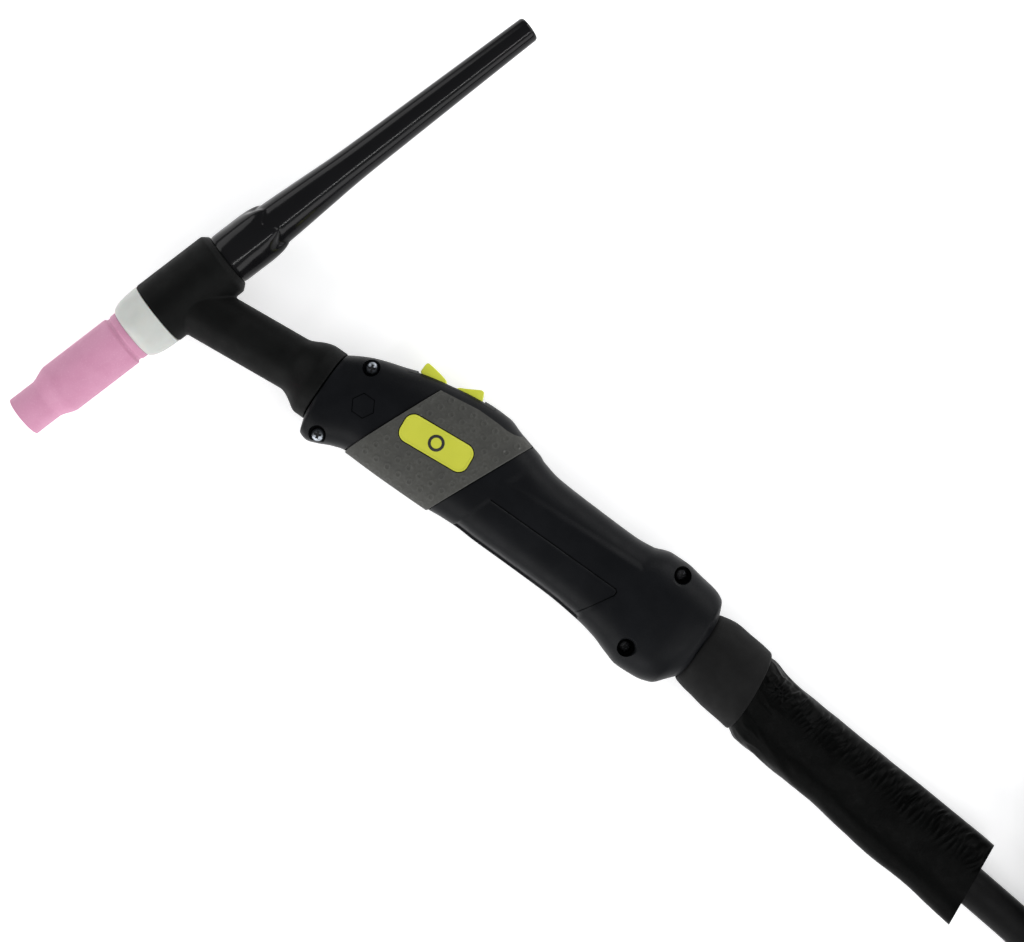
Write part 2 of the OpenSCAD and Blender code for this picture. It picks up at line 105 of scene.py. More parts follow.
def make_stage():
    scene = bpy.context.scene
    scene.view_settings.view_transform = "Standard"
    area_light("key", 0.45, -0.58, 1.15, (1.1, 0.045), 4.5)
    area_light("upper_right", 0.95, 0.75, 0.55, (1.4, 0.7), 10)
    area_light("lower_left", -0.75, -0.85, 0.5, (1.4, 0.7), 11)
    area_light("upper_left", -0.95, 0.75, 0.6, (1.2, 0.7), 6)
    area_light("lower_right", 0.95, -0.75, 0.5, (1.2, 0.6), 6)
    world = bpy.data.worlds.new("studio")
    world.use_nodes = True
    background = world.node_tree.nodes["Background"]
    background.inputs["Color"].default_value = (0.95, 0.97, 1.0, 1)
    background.inputs["Strength"].default_value = 0.24
    scene.world = world
    bpy.ops.mesh.primitive_plane_add(size=6, location=(0.2, 0, FLOOR_Z - 0.00002))
    floor = bpy.context.object
    floor.name = "floor"
    floor.data.materials.append(plain_floor())


# ---------------- materials


class Shade:
    """A node-based material: a principled shader, and helpers that add texture nodes to it."""

    def __init__(self, name, colour, roughness, **sockets):
        self.material = bpy.data.materials.new(name)
        self.material.use_nodes = True
        self.tree = self.material.node_tree
        self.shader = self.tree.nodes["Principled BSDF"]
        self.colour = (*colour, 1)
        self.shader.inputs["Base Color"].default_value = self.colour
        self.shader.inputs["Roughness"].default_value = roughness
        self.roughness = roughness
        for socket, value in sockets.items():
            self.shader.inputs[socket.replace("_", " ")].default_value = value
        self.place = self.tree.nodes.new("ShaderNodeTexCoord").outputs["Object"]
        self.normal = None

    def feed(self, socket, value):
        """Sets a socket to a number or a colour, or links an output to it."""
        if isinstance(value, bpy.types.NodeSocket):
            self.tree.links.new(value, socket)
        else:
            socket.default_value = value

    def node(self, kind, inputs, **values):
        node = self.tree.nodes.new(kind)
        for key, value in values.items():
            setattr(node, key, value)
        for socket, value in inputs.items():
            self.feed(node.inputs[socket], value)
        return node

    def noise(self, scale, detail=3.0, rough=0.55, stretch=None):
        place = self.place
        if stretch:
            place = self.node("ShaderNodeMapping", {"Scale": stretch, "Vector": place}).outputs["Vector"]
        inputs = {"Scale": scale, "Detail": detail, "Roughness": rough, "Vector": place}
        return self.node("ShaderNodeTexNoise", inputs).outputs["Fac"]

    def cells(self, scale, feature="F1"):
        inputs = {"Scale": scale, "Vector": self.place}
        return self.node("ShaderNodeTexVoronoi", inputs, feature=feature).outputs["Distance"]

    def edges(self):
        """1 on sharp convex edges, near 0.5 on flat ground."""
        return self.node("ShaderNodeNewGeometry", {}).outputs["Pointiness"]

    def ramp(self, fac, low, high, out_low=0.0, out_high=1.0):
        inputs = {"Value": fac, "From Min": low, "From Max": high, "To Min": out_low, "To Max": out_high}
        return self.node("ShaderNodeMapRange", inputs).outputs["Result"]

    def tint(self, fac, other, low=0.4, high=0.75):
        """The colour drifts towards other where fac is high."""
        source = self.shader.inputs["Base Color"]
        ground = source.links[0].from_socket if source.is_linked else self.colour
        inputs = {"Factor": self.ramp(fac, low, high), "A": ground, "B": (*other, 1)}
        self.feed(source, self.node("ShaderNodeMix", inputs, data_type="RGBA").outputs["Result"])

    def rough(self, fac, spread):
        """The roughness varies by spread each way with fac."""
        r = self.roughness
        self.feed(self.shader.inputs["Roughness"], self.ramp(fac, 0.3, 0.7, r - spread, r + spread))

    def bump(self, fac, depth, strength=1.0):
        """Adds relief of that depth in metres."""
        inputs = {"Distance": depth, "Strength": strength, "Height": fac}
        if self.normal is not None:
            inputs["Normal"] = self.normal
        self.normal = self.node("ShaderNodeBump", inputs).outputs["Normal"]
        self.feed(self.shader.inputs["Normal"], self.normal)


def plain_floor():
    s = Shade("floor_paper", (0.90, 0.90, 0.90), 0.85, Emission_Color=(1, 1, 1, 1), Emission_Strength=0.45)
    s.tint(s.noise(60), (0.88, 0.88, 0.885), 0.35, 0.65)
    return s.material


def ceramic():
    s = Shade("alumina", (0.57, 0.262, 0.392), 0.52, Specular_IOR_Level=0.35)
    s.tint(s.noise(120, 4), (0.52, 0.222, 0.345))
    s.tint(s.noise(2600, 2), (0.62, 0.33, 0.45), 0.58, 0.75)
    s.rough(s.noise(500), 0.07)
    s.bump(s.noise(1800, 4, 0.65), 0.00003)
    return s.material


def ptfe():
    s = Shade("ptfe", (0.52, 0.535, 0.505), 0.42, Subsurface_Weight=0.12, Subsurface_Scale=0.002)
    s.tint(s.noise(90), (0.47, 0.485, 0.46), 0.42, 0.7)
    s.rough(s.noise(300), 0.06)
    s.bump(s.noise(30, 2, 0.5, (1, 1, 60)), 0.00002)
    return s.material


def rubber(name, colour, roughness, grain=1500, depth=0.00003):
    s = Shade(name, colour, roughness, Specular_IOR_Level=0.08)
    s.tint(s.noise(70, 4, 0.6), tuple(c * 1.6 + 0.001 for c in colour), 0.45, 0.75)
    s.rough(s.noise(240), 0.06)
    s.bump(s.noise(grain, 3, 0.6), depth)
    return s.material


def phenolic():
    s = Shade("phenolic", (0.0048, 0.0048, 0.0054), 0.15, Specular_IOR_Level=0.17)
    s.rough(s.noise(160), 0.04)
    s.tint(s.noise(50, 4), (0.006, 0.006, 0.0066), 0.45, 0.75)
    s.bump(s.noise(90, 2), 0.00002)
    return s.material


def handle_plastic():
    s = Shade("handle_plastic", (0.0038, 0.0042, 0.0051), 0.42, Specular_IOR_Level=0.083)
    s.tint(s.noise(60, 4, 0.6), (0.0058, 0.0063, 0.0075), 0.42, 0.72)
    s.rough(s.noise(180, 4), 0.05)
    s.bump(s.cells(2600), 0.000025, 0.6)
    return s.material


def panel_rubber():
    s = Shade("panel_rubber", (0.052, 0.052, 0.0465), 0.72, Specular_IOR_Level=0.2)
    s.tint(s.noise(900, 3, 0.6), (0.066, 0.066, 0.061), 0.42, 0.7)
    s.tint(s.noise(130), (0.045, 0.045, 0.0415), 0.45, 0.75)
    # lighter on sharp convex edges, such as the tops of the rings
    s.tint(s.edges(), (0.1, 0.1, 0.094), 0.52, 0.58)
    s.bump(s.noise(2200, 4, 0.65), 0.00006)
    return s.material


def leather():
    s = Shade("leather", (0.0009, 0.001, 0.00095), 0.37, Specular_IOR_Level=0.03)
    s.tint(s.noise(80, 4, 0.6), (0.0014, 0.0016, 0.0015), 0.45, 0.7)
    s.rough(s.noise(350), 0.06)
    s.bump(s.cells(900, "DISTANCE_TO_EDGE"), 0.00006, 0.5)
    s.bump(s.noise(420, 4, 0.6), 0.00008, 0.6)
    return s.material


def suede():
    s = Shade("leather_back", (0.02, 0.018, 0.016), 0.95, Specular_IOR_Level=0.1)
    s.tint(s.noise(900), (0.035, 0.032, 0.028), 0.35, 0.65)
    s.bump(s.noise(1500, 4, 0.7), 0.0002)
    return s.material


def metal(name, colour, roughness):
    s = Shade(name, colour, roughness, Metallic=1.0)
    s.tint(s.noise(260, 4), tuple(c * 0.72 for c in colour))
    s.rough(s.noise(700, 3, 0.6), 0.06)
    s.bump(s.noise(1600, 2, 0.5), 0.00001)
    return s.material


def satin_plastic(name, colour, roughness=0.45, other=None, scales=(110, 420, 2000), spread=0.05):
    """Plastic or film. The scales are of its cloudiness, its gloss and its grain."""
    s = Shade(name, colour, roughness)
    s.tint(s.noise(scales[0]), other or tuple(c * 0.8 for c in colour))
    s.rough(s.noise(scales[1]), spread)
    s.bump(s.noise(scales[2], 2), 0.00001)
    return s.material


def hook_strap():
    s = Shade("hook_strap", (0.012, 0.012, 0.013), 0.85, Sheen_Weight=0.4)
    s.tint(s.noise(1400), (0.03, 0.03, 0.032), 0.45, 0.65)
    s.bump(s.cells(1500), 0.0003, 0.8)
    return s.material


def make_materials():
    return {
        "ceramic_pink": ceramic(),
        "ptfe_white": ptfe(),
        "seal_grey": rubber("seal_rubber", (0.02, 0.02, 0.02), 0.6),
        "copper": metal("copper", (0.60, 0.29, 0.17), 0.32),
        "rubber_black": rubber("black_rubber", (0.0026, 0.0028, 0.0027), 0.55),
        "phenolic_black": phenolic(),
        "handle_black": handle_plastic(),
        "screw_zinc": metal("zinc_plate", (0.40, 0.43, 0.47), 0.42),
        "screw_dark": metal("black_oxide", (0.24, 0.245, 0.26), 0.33),
        "panel_grey": panel_rubber(),
        "badge_green": satin_plastic("badge_film", (0.53, 0.545, 0.048), 0.34, (0.48, 0.50, 0.04),
                                     (60, 300, 1400)),
        # painted light: this yellow is lighter than the plastic's own colour, to make up for the shade the
        # handle casts on the rocker
        "rocker_yellow": satin_plastic("rocker_plastic", (0.66, 0.70, 0.055), 0.4, (0.60, 0.64, 0.045),
                                       (140, 400, 2400), 0.06),
        "switch_plastic": satin_plastic("switch_plastic", (0.018, 0.018, 0.02)),
        "nylon_white": satin_plastic("nylon", (0.66, 0.65, 0.60)),
        "board_green": satin_plastic("board", (0.015, 0.11, 0.05), 0.3),
        "lead_red": satin_plastic("lead_insulation", (0.35, 0.015, 0.015)),
        "brass": metal("brass", (0.66, 0.46, 0.19), 0.27),
        "steel": metal("steel", (0.52, 0.53, 0.55), 0.3),
        "cable_rubber": rubber("cable_rubber", (0.0026, 0.0026, 0.0027), 0.5, 1100, 0.00004),
        "boot_grey": rubber("boot_rubber", (0.0062, 0.0062, 0.0062), 0.62, 1800, 0.00002),
        "leather_black": leather(),
        "leather_back": suede(),
        "tie_black": hook_strap(),
        # the badge's printed ring, and also the painted shade in the screws' cross recesses
        "mark_black": satin_plastic("badge_print_and_recess_shade", (0.012, 0.012, 0.014), 0.5),
    }


make_camera()
make_stage()
LOOK = make_materials()
SLOT_OF = {p["node"]: p["material_slot"] for p in RECORD["subparts"]}
BODY_OF = {n: b for b, names in RECORD["behaviour"]["bodies"].items() for n in names}
for node_name, node_object in NODES.items():
    node_object.data.materials.clear()
    node_object.data.materials.append(LOOK[SLOT_OF[node_name]])

# ---------------- tools for meshes


def smooth(obj, degrees=32):
    """Smooth shading, with edges sharper than that angle kept crisp."""
    obj.data.shade_smooth()
    obj.data.set_sharp_from_angle(angle=math.radians(degrees))
    return obj


def piece(name, points, faces, look=None, degrees=32):
    """A closed mesh from points in millimetres. Points that coincide are joined."""
    mesh = bpy.data.meshes.new(name)
    mesh.from_pydata((np.asarray(points, float).reshape(-1, 3) * MM).tolist(), [], faces)
    if look:
        mesh.materials.append(LOOK[look])
    work = bmesh.new()
    work.from_mesh(mesh)
    bmesh.ops.remove_doubles(work, verts=work.verts, dist=1e-7)
    bmesh.ops.dissolve_degenerate(work, edges=work.edges, dist=1e-8)
    bmesh.ops.recalc_face_normals(work, faces=work.faces)
    work.to_mesh(mesh)
    work.free()
    return smooth(new_object(name, mesh), degrees)


def circle(count):
    """Angles evenly spaced round a circle."""
    return np.linspace(0, 2 * np.pi, count, endpoint=False)


def ring_faces(rings, sides, wrap):
    """Quads between rings of points, and around each ring. wrap joins the last ring to the first."""
    last = rings if wrap else rings - 1
    faces = []
    for i in range(last):
        a, b = i * sides, (i + 1) % rings * sides
        faces += [(a + j, a + (j + 1) % sides, b + (j + 1) % sides, b + j) for j in range(sides)]
    return faces


def skin(name, rings, look=None, wrap=False, degrees=32):
    """A closed skin over rings of points, with flat ends unless it wraps."""
    rings = np.asarray(rings, float)
    count, sides = rings.shape[:2]
    faces = ring_faces(count, sides, wrap)
    if not wrap:
        faces += [tuple(range(sides)), tuple((count - 1) * sides + j for j in range(sides))]
    return piece(name, rings, faces, look, degrees)


def rounded(points, radius, steps=4, closed=True):
    """The outline with its corners eased. Points on the axis and open ends stay."""
    points = [np.array(p, float) for p in points]
    out = []
    for i, p in enumerate(points):
        before, after = points[i - 1], points[(i + 1) % len(points)]
        if p[0] == 0 or (not closed and i in (0, len(points) - 1)):
            out.append(p)
            continue
        to_before, to_after = before - p, after - p
        lengths = np.linalg.norm(to_before), np.linalg.norm(to_after)
        reach = min(radius, 0.45 * lengths[0], 0.45 * lengths[1])
        start, end = p + to_before / lengths[0] * reach, p + to_after / lengths[1] * reach
        for t in np.linspace(0, 1, steps + 1):
            out.append((1 - t) ** 2 * start + 2 * t * (1 - t) * p + t * t * end)
    return out


def axis_frame(axis):
    """Rows are the X, Y and Z directions of a part whose Z axis is that axis and whose X is up."""
    z = Vector(axis).normalized()
    x = (UP - z * UP.dot(z)).normalized() if abs(UP.dot(z)) < 0.99 else Vector((1, 0, 0))
    return np.array([x, z.cross(x), z])


def lathe(name, profile, look=None, axis=(0, 0, 1), at=(0, 0, 0), sides=72, wave=None, degrees=32):
    """Turns a profile of (radius, height) in millimetres about an axis through at.

    wave(angle, height) gives more radius, for flutes, ribs and threads.
    """
    profile = np.array(profile, float)
    angle = circle(sides)[None, :]
    radius = np.repeat(profile[:, :1], sides, 1)
    height = np.repeat(profile[:, 1:], sides, 1)
    if wave:
        radius = np.where(radius > 0, radius + wave(angle, height), radius)
    local = np.stack([radius * np.cos(angle), radius * np.sin(angle), height], -1)
    points = local @ axis_frame(axis) + np.array(at, float)
    return piece(name, points, ring_faces(len(profile), sides, profile[0, 0] > 0), look, degrees)


def rod(radius, low, high, axis=(0, 0, 1), at=(0, 0, 0), sides=40):
    """A plain cylinder to cut with or to add."""
    return lathe("rod", [(0, low), (radius, low), (radius, high), (0, high)], None, axis, at, sides)


def stand(name, outline, low, high, look=None, degrees=32):
    """A prism over an outline in the XY plane."""
    outline = np.array(outline, float)
    rings = [np.column_stack([outline, np.full(len(outline), z)]) for z in (low, high)]
    return skin(name, rings, look, degrees=degrees)


def box(name, low, high):
    corners = [(low[0], low[1]), (high[0], low[1]), (high[0], high[1]), (low[0], high[1])]
    return stand(name, corners, low[2], high[2])


def applied(obj, kind, **values):
    """Adds a modifier and makes its result the mesh."""
    modifier = obj.modifiers.new("step", kind)
    for key, value in values.items():
        setattr(modifier, key, value)
    graph = bpy.context.evaluated_depsgraph_get()
    graph.update()
    mesh = bpy.data.meshes.new_from_object(obj.evaluated_get(graph))
    obj.modifiers.clear()
    old, obj.data = obj.data, mesh
    bpy.data.meshes.remove(old)
    return obj


def combine(obj, tool, operation, degrees=32):
    """A boolean that keeps obj's first look all over."""
    looks = list(obj.data.materials)
    applied(obj, "BOOLEAN", operation=operation, solver="MANIFOLD", object=tool)
    obj.data.materials.clear()
    for look in looks:
        obj.data.materials.append(look)
    obj.data.polygons.foreach_set("material_index", np.zeros(len(obj.data.polygons), np.int32))
    bpy.data.objects.remove(tool)
    return smooth(obj, degrees)


def cut(obj, tool, degrees=32):
    """Takes the tool's shape out of obj. The tool is used up, here and in add."""
    return combine(obj, tool, "DIFFERENCE", degrees)


def add(obj, tool, degrees=32):
    return combine(obj, tool, "UNION", degrees)


def bevelled(obj, width, segments=3, degrees=35):
    """Edges sharper than that angle are rounded off."""
    applied(obj, "BEVEL", width=width * MM, segments=segments, limit_method="ANGLE",
            angle_limit=math.radians(degrees), use_clamp_overlap=True)
    return smooth(obj, 40)


def joined(first, *others):
    """Meshes that don't touch, as one object."""
    for other in others:
        work = bmesh.new()
        work.from_mesh(first.data)
        work.from_mesh(other.data)
        work.to_mesh(first.data)
        work.free()
        bpy.data.objects.remove(other)
    return smooth(first)


def curve_through(table, at):
    """Each column of a table as a smooth curve without overshoot, read at those first-column values."""
    table = np.array(table, float)
    x, values = table[:, 0], table[:, 1:]
    step = np.diff(x)[:, None]
    slope = np.diff(values, axis=0) / step
    product = slope[:-1] * slope[1:]
    total = slope[:-1] + slope[1:]
    inner = np.where(product > 0, 2 * product / np.where(total == 0, 1, total), 0)
    tangent = np.vstack([slope[:1], inner, slope[-1:]])
    at = np.clip(np.asarray(at, float), x[0], x[-1])
    i = np.clip(np.searchsorted(x, at, side="right") - 1, 0, len(x) - 2)
    h = step[i]
    t = (at - x[i])[..., None] / h
    return (values[i] * (1 + 2 * t) * (1 - t) ** 2 + tangent[i] * h * t * (1 - t) ** 2
            + values[i + 1] * t * t * (3 - 2 * t) + tangent[i + 1] * h * t * t * (t - 1))


def signed_power(v, power):
    """The power of v's size, with v's sign, for superellipses."""
    return np.sign(v) * np.abs(v) ** power


def step_up(v, low, high):
    """0 below low, 1 above high, and a smooth rise between."""
    t = np.clip((v - low) / (high - low), 0, 1)
    return t * t * (3 - 2 * t)


def place(obj, node, slot=None, replaced=True):
    """obj rides with that CAD node, and stands for it if replaced."""
    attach(obj, BODY_OF[node])
    if replaced:
        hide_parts(node)
    slot or SLOT_OF[node]
    return obj


# ---------------- cords

CABLE_D = 14.0
GAS_D = 6.0
CONTROL_D = 5.0
COIL_AT = np.array([456.0, 86.0])
COIL_R = 108.0
COIL_TURNS = 3.5
COIL_LOW, COIL_HIGH = -8.5, 5.5
TIE_ANGLE = math.radians(140)
TIE_T, TIE_WIDTH = 1.2, 12.0
TIE_OUT = np.array([math.cos(TIE_ANGLE), math.sin(TIE_ANGLE), 0])
TIE_SIDE = np.array([-TIE_OUT[1], TIE_OUT[0], 0])
CABLE_INSIDE = [
    (73.2, 6.4, 0), (84, 7.1, 0), (96, 7, 0), (110, 6.3, 0), (126, 5.6, 0), (142, 5.2, 0),
    (160, 4.9, 0), (180, 4.6, 0), (200, 4.2, 0), (219, 3.7, 0), (236, 2.2, -0.3),
    (252, 0.4, -1.2), (270, -1.7, -2.9), (290, -4, -4.6), (310, -6.2, -5.7), (330, -8.2, -6.2),
    (346.4, -9.8, -6.4)]
CABLE_LEAD = [
    (346.4, -9.8, -6.4), (358, -11, -7.1), (370, -12.3, -8), (384, -14.2, -8.5),
    (398, -16.3, -8.5), (412, -18.4, -8.5), (426, -20.3, -8.5), (440, -21.6, -8.5),
    (456, -22, -8.5)]
CABLE_TAIL = [
    (456, -22, 5.5), (470, -22, 5.5), (484, -22.2, 4.6), (498, -22.8, 1.5), (512, -24, -3),
    (524, -25.2, -6.6), (536, -26, -8.3), (548, -26, -8.5)]
GAS_TAIL = [
    (584, -14, -12.5), (598, -12, -12.5), (612, -7, -12.5), (625, 1, -12.5), (636, 12, -12.5),
    (643, 26, -12.5), (647, 41, -12.5), (648, 56, -12), (648, 70, -10.2), (648, 84, -7.6),
    (648, 96, -6.2), (648, 104, -6)]
CONTROL_TAIL = [
    (584, -38, -13), (597, -39, -13), (610, -42, -13), (623, -46, -12.6), (636, -50, -10.8),
    (647, -52.5, -8), (658, -53.6, -6.4), (668, -54, -6.3)]


def smooth_route(points, spacing=3.0):
    """A smooth curve through the points, as points about that far apart."""
    points = np.array(points, float)
    p = np.vstack([2 * points[0] - points[1], points, 2 * points[-1] - points[-2]])
    out = []
    for i in range(1, len(p) - 2):
        a, b, c, d = p[i - 1: i + 3]
        count = max(2, round(np.linalg.norm(c - b) / spacing))
        for t in np.arange(count) / count:
            out.append(0.5 * (2 * b + (c - a) * t + (2 * a - 5 * b + 4 * c - d) * t * t
                              + (3 * b - a - 3 * c + d) * t ** 3))
    return np.vstack([out, points[-1:]])


def coil_route():
    """Two flat layers: inwards on the surface, then outwards on top of it."""
    turn = 2 * math.pi
    span = COIL_TURNS * turn
    inner = COIL_R - COIL_TURNS * CABLE_D
    climb = math.radians(60)
    down = np.linspace(0, span, round(span * 20))
    up = np.linspace(0, span, round(span * 20))[1:]
    angle = np.concatenate([down, span + up]) - math.pi / 2
    low_r = COIL_R - (COIL_R - inner) * down / span
    high_r = inner + (COIL_R - inner) * np.clip(up - climb, 0, None) / (span - climb)
    radius = np.concatenate([low_r, high_r])
    rise = (COIL_HIGH - COIL_LOW) * step_up(up, 0, climb)
    height = COIL_LOW + np.concatenate([np.zeros(len(down)), rise])
    off = np.abs((angle - TIE_ANGLE + math.pi) % turn - math.pi) * radius
    height += TIE_T * (1 - step_up(off, 8, 34))
    return np.column_stack([COIL_AT[0] + radius * np.cos(angle),
                            COIL_AT[1] + radius * np.sin(angle), height])


def cord_curve(name, route, diameter):
    """A round rubber cable along a route in millimetres."""
    data = bpy.data.curves.new(name, "CURVE")
    data.dimensions = "3D"
    data.bevel_depth = diameter / 2 * MM
    data.bevel_resolution = 5
    data.use_fill_caps = True
    data.twist_mode = "Z_UP"
    spline = data.splines.new("POLY")
    spline.points.add(len(route) - 1)
    for point, place_mm in zip(spline.points, route):
        point.co = (*(place_mm * MM), 1)
    spline.use_smooth = True
    data.materials.append(LOOK["cable_rubber"])
    return new_object(name, data)


MAIN_ROUTE = np.vstack([smooth_route(CABLE_LEAD)[:-1], coil_route()[:-1], smooth_route(CABLE_TAIL)])
GAS_ROUTE = smooth_route(GAS_TAIL, 2.0)
CONTROL_ROUTE = smooth_route(CONTROL_TAIL, 2.0)


def make_cables():
    """The power and gas cable, and the two tails behind the splitter."""
    cable = cord_curve("power_cable", MAIN_ROUTE, CABLE_D)
    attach(cable, BODY_OF["cable_coil"])
    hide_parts("cable_lead", "cable_coil", "cable_tail")
    gas = place(cord_curve("gas_hose", GAS_ROUTE, GAS_D), "gas_tail")
    control = place(cord_curve("control_lead", CONTROL_ROUTE, CONTROL_D), "control_tail")
    return cable, gas, control


CABLE, GAS_HOSE, CONTROL_LEAD = make_cables()


def inside_cable():
    """The stretch that the handle and the sleeve hold."""
    return place(cord_curve("held_cable", smooth_route(CABLE_INSIDE), CABLE_D - 0.1), "inner_cable")


# ---------------- front end and head

NOZZLE_REAR, HEAD_FRONT, HEAD_REAR = -22.0, -9.4, 21.5
NOZZLE_PITCH, CAP_PITCH = 2.0, 1.0
HEAD_R, NECK_R, FLARE_R = 12.0, 9.9, 13.7
COVER_END = 60.75


def on_head(h):
    """The point on the head's axis at that height."""
    return np.array(HEAD) * h


def thread(pitch, depth, low, high, over=-99, under=99):
    """A helical ridge that fades in and out at its two ends, and is nil outside over and under."""
    def wave(angle, height):
        phase = (height / pitch - angle / (2 * np.pi)) % 1
        ridge = 1 - 2 * np.abs(phase - 0.5)
        fade = step_up(height, low, low + pitch) * (1 - step_up(height, high - pitch, high))
        return depth * (ridge - 1) * fade * ((height > over) & (height < under))
    return wave


def steps(low, high, spacing, radius):
    """Profile points along a cylinder, close enough for a thread."""
    count = max(2, round(abs(high - low) / spacing))
    return [(radius, h) for h in np.linspace(low, high, count + 1)]


def gas_nozzle():
    outer = rounded([(5.2, -46.7), (5.5, -47), (7.5, -47), (7.5, -36.6), (7.9, -35.2), (9.1, -32.2),
                     (9.5, -30.6), (9.5, -3.4), (8.75, -2.8), (8.75, -1.7), (9.2, -1.2), (9.2, 0.2)],
                    0.3, 5, closed=False)
    outer += [(9.2, 0.84), (9.14, 0.87), (9.08, 0.8), (9.08, 0), (7, 0)]
    shell = lathe("nozzle", outer + [(5.2, -30)], "ceramic_pink", HEAD, on_head(NOZZLE_REAR), 96)
    inner = ([(0, 1), (6.9, 1)] + steps(-0.6, -12, 0.25, 7)
             + [(6.4, -13), (5.21, -29.9), (0, -29.9)])
    bore = lathe("bore", inner, None, HEAD, on_head(NOZZLE_REAR), 96,
                 thread(NOZZLE_PITCH, 0.45, -12, -0.6, over=-12.1))
    return place(cut(shell, bore), "gas_nozzle")


def nozzle_seal():
    profile = rounded([(7.2, 0), (9, 0), (9, 0.7), (7.2, 0.7)], 0.25)
    return place(lathe("nozzle_gasket", profile, "seal_grey", HEAD, on_head(NOZZLE_REAR + 0.05)),
                 "nozzle_seal")


def collet_body():
    profile = (rounded([(1.5, -52), (3.2, -52), (4.5, -48), (4.5, -34.4), (6.5, -34), (6.88, -33.4)],
                       0.4, closed=False)
               + steps(-33.2, -23.7, 0.22, 6.88)
               + [(6.6, -23.5), (4.95, -23.5), (4.95, -1), (2.15, -1), (2.15, -50), (1.5, -50)])
    threaded = lathe("collet_holder", profile, "copper", HEAD, (0, 0, 0), 96,
                     thread(NOZZLE_PITCH, 0.5, -33.8, -23.2, -33.5, -23.6), 50)
    for across in axis_frame(HEAD)[:2]:
        cut(threaded, rod(1, -6, 6, across, on_head(-40), 24), 50)
    return place(threaded, "collet_body")


def insulator():
    outer = [(5.2, -21.2), (8.6, -21.2), (9.3, -21.05), (10.1, -20.4), (10.75, -19.2), (11.2, -17.8),
             (11.5, -16.2), (11.7, -14.4), (11.83, -12.6), (11.9, -11), (11.92, HEAD_FRONT - 0.35),
             (11.7, HEAD_FRONT - 0.05), (5.2, HEAD_FRONT - 0.05)]
    return place(lathe("ptfe_gasket", rounded(outer, 0.5), "ptfe_white", HEAD, sides=96), "insulator")


def neck_rings():
    """Round sections along the neck that swell into the flare in front of the handle."""
    sections = []
    for s in np.concatenate([np.arange(-2, 46, 1.5), np.arange(46, 61, 0.5)]):
        swell = step_up(s, 46.5, 56.5)
        radius = NECK_R + (FLARE_R - NECK_R) * swell
        centre = np.array(NECK) * s
        target = np.array([s * math.cos(NECK_ANGLE), 3.9, 0])
        centre = centre + (target - centre) * swell
        lean = NECK_ANGLE * (1 - step_up(s, 50, 60))
        x, y = axis_frame((math.cos(lean), math.sin(lean), 0))[:2]
        angle = circle(96)[:, None]
        sections.append(centre + radius * (np.cos(angle) * x + np.sin(angle) * y))
    return sections


def head_cover():
    """Rubber head and neck in one moulding, with a soft fillet where they meet."""
    head = rounded([(0, HEAD_FRONT), (HEAD_R, HEAD_FRONT), (HEAD_R, HEAD_REAR - 2.3),
                    (HEAD_R - 1.9, HEAD_REAR), (0, HEAD_REAR)], 0.5, closed=False)
    cover = lathe("head_and_neck", head, "rubber_black", HEAD, sides=128)
    add(cover, skin("neck", neck_rings()))
    applied(cover, "REMESH", mode="VOXEL", voxel_size=0.36 * MM, adaptivity=0)
    applied(cover, "SMOOTH", factor=0.5, iterations=3)
    cut(cover, rod(40, 0, 30, ALONG, (COVER_END, 0, 0), 32))
    add(cover, rod(10.2, 0, 2.6, ALONG, (60, 3.7, 0), 96))
    cut(cover, rod(7, -8, 30, HEAD, sides=64))
    cut(cover, rod(8.02, -12, -4, HEAD, sides=64))
    cut(cover, rod(5.02, 12, 70, NECK, sides=48))
    cover.data.materials.clear()
    cover.data.materials.append(LOOK["rubber_black"])
    return place(smooth(cover, 50), "head_cover")


CAP_LEN, CAP_FLUTES = 134.0, 6
CAP_R = [(0.0, 9.45), (1.2, 9.7), (6, 9.8), (12, 9.85), (16, 9.7), (18.4, 9.35), (20.2, 8.8),
         (21.2, 8.3), (22.2, 8.12), (24.5, 8.02), (28, 7.82), (35, 7.4), (43, 6.9), (51, 6.4),
         (60, 6.05), (74, 5.75), (90, 5.45), (108, 5.1), (122, 4.85), (133.3, 4.66)]


def cap_wave(angle, height):
    """Broad lobes on the bulb that end in domes, and narrow flutes that fade along the stem."""
    valley = 0.5 - 0.5 * np.cos(angle * CAP_FLUTES - 2.5)
    on_bulb = step_up(height, 0.5, 9) * (1 - step_up(height, 17, 22))
    on_stem = step_up(height, 20, 27) * (1 - step_up(height, 30, 64))
    slide = 3.0 * valley * step_up(height, 7, 17) * (1 - step_up(height, 22, 27))
    dome = curve_through(CAP_R, height + slide)[..., 0] - curve_through(CAP_R, height)[..., 0]
    return (dome - (0.24 * on_bulb + 0.14 * on_stem) * valley) * (height > 0)


def back_cap():
    heights = np.concatenate([np.arange(0.1, 30, 0.25), np.arange(30, 66, 0.8), np.arange(66, 133, 2.5)])
    stem = [(float(r[0]), float(h)) for h, r in zip(heights, curve_through(CAP_R, heights))]
    tip = rounded([stem[-1], (4.66, 133.2), (4.2, CAP_LEN), (0, CAP_LEN)], 0.35, closed=False)
    nose = ([(0, -13)] + rounded([(2.6, -13), (5.6, -13), (6.02, -12.5)], 0.3, closed=False)
            + steps(-12.3, -4.3, 0.16, 6.02)
            + [(6.02, -3.7), (4.7, -3.7), (4.7, -1.7), (6.02, -1.7), (6.02, 0.1), (9.2, 0.1)])
    wave = thread(CAP_PITCH, 0.32, -12.5, -4.2, under=-3.9)

    def relief(angle, height):
        return np.where(height > 0.05, cap_wave(angle, height), wave(angle, height))
    cap = lathe("cap", nose + stem + tip[1:], "phenolic_black", HEAD, on_head(HEAD_REAR), 192, relief, 40)
    bore = lathe("bore", [(0, -14), (2.6, -14), (2.6, -8), (1.6, -8), (1.6, 100), (0, 100)], None, HEAD,
                 on_head(HEAD_REAR), 32)
    return place(cut(cap, bore, 40), "back_cap")


# ---------------- handle

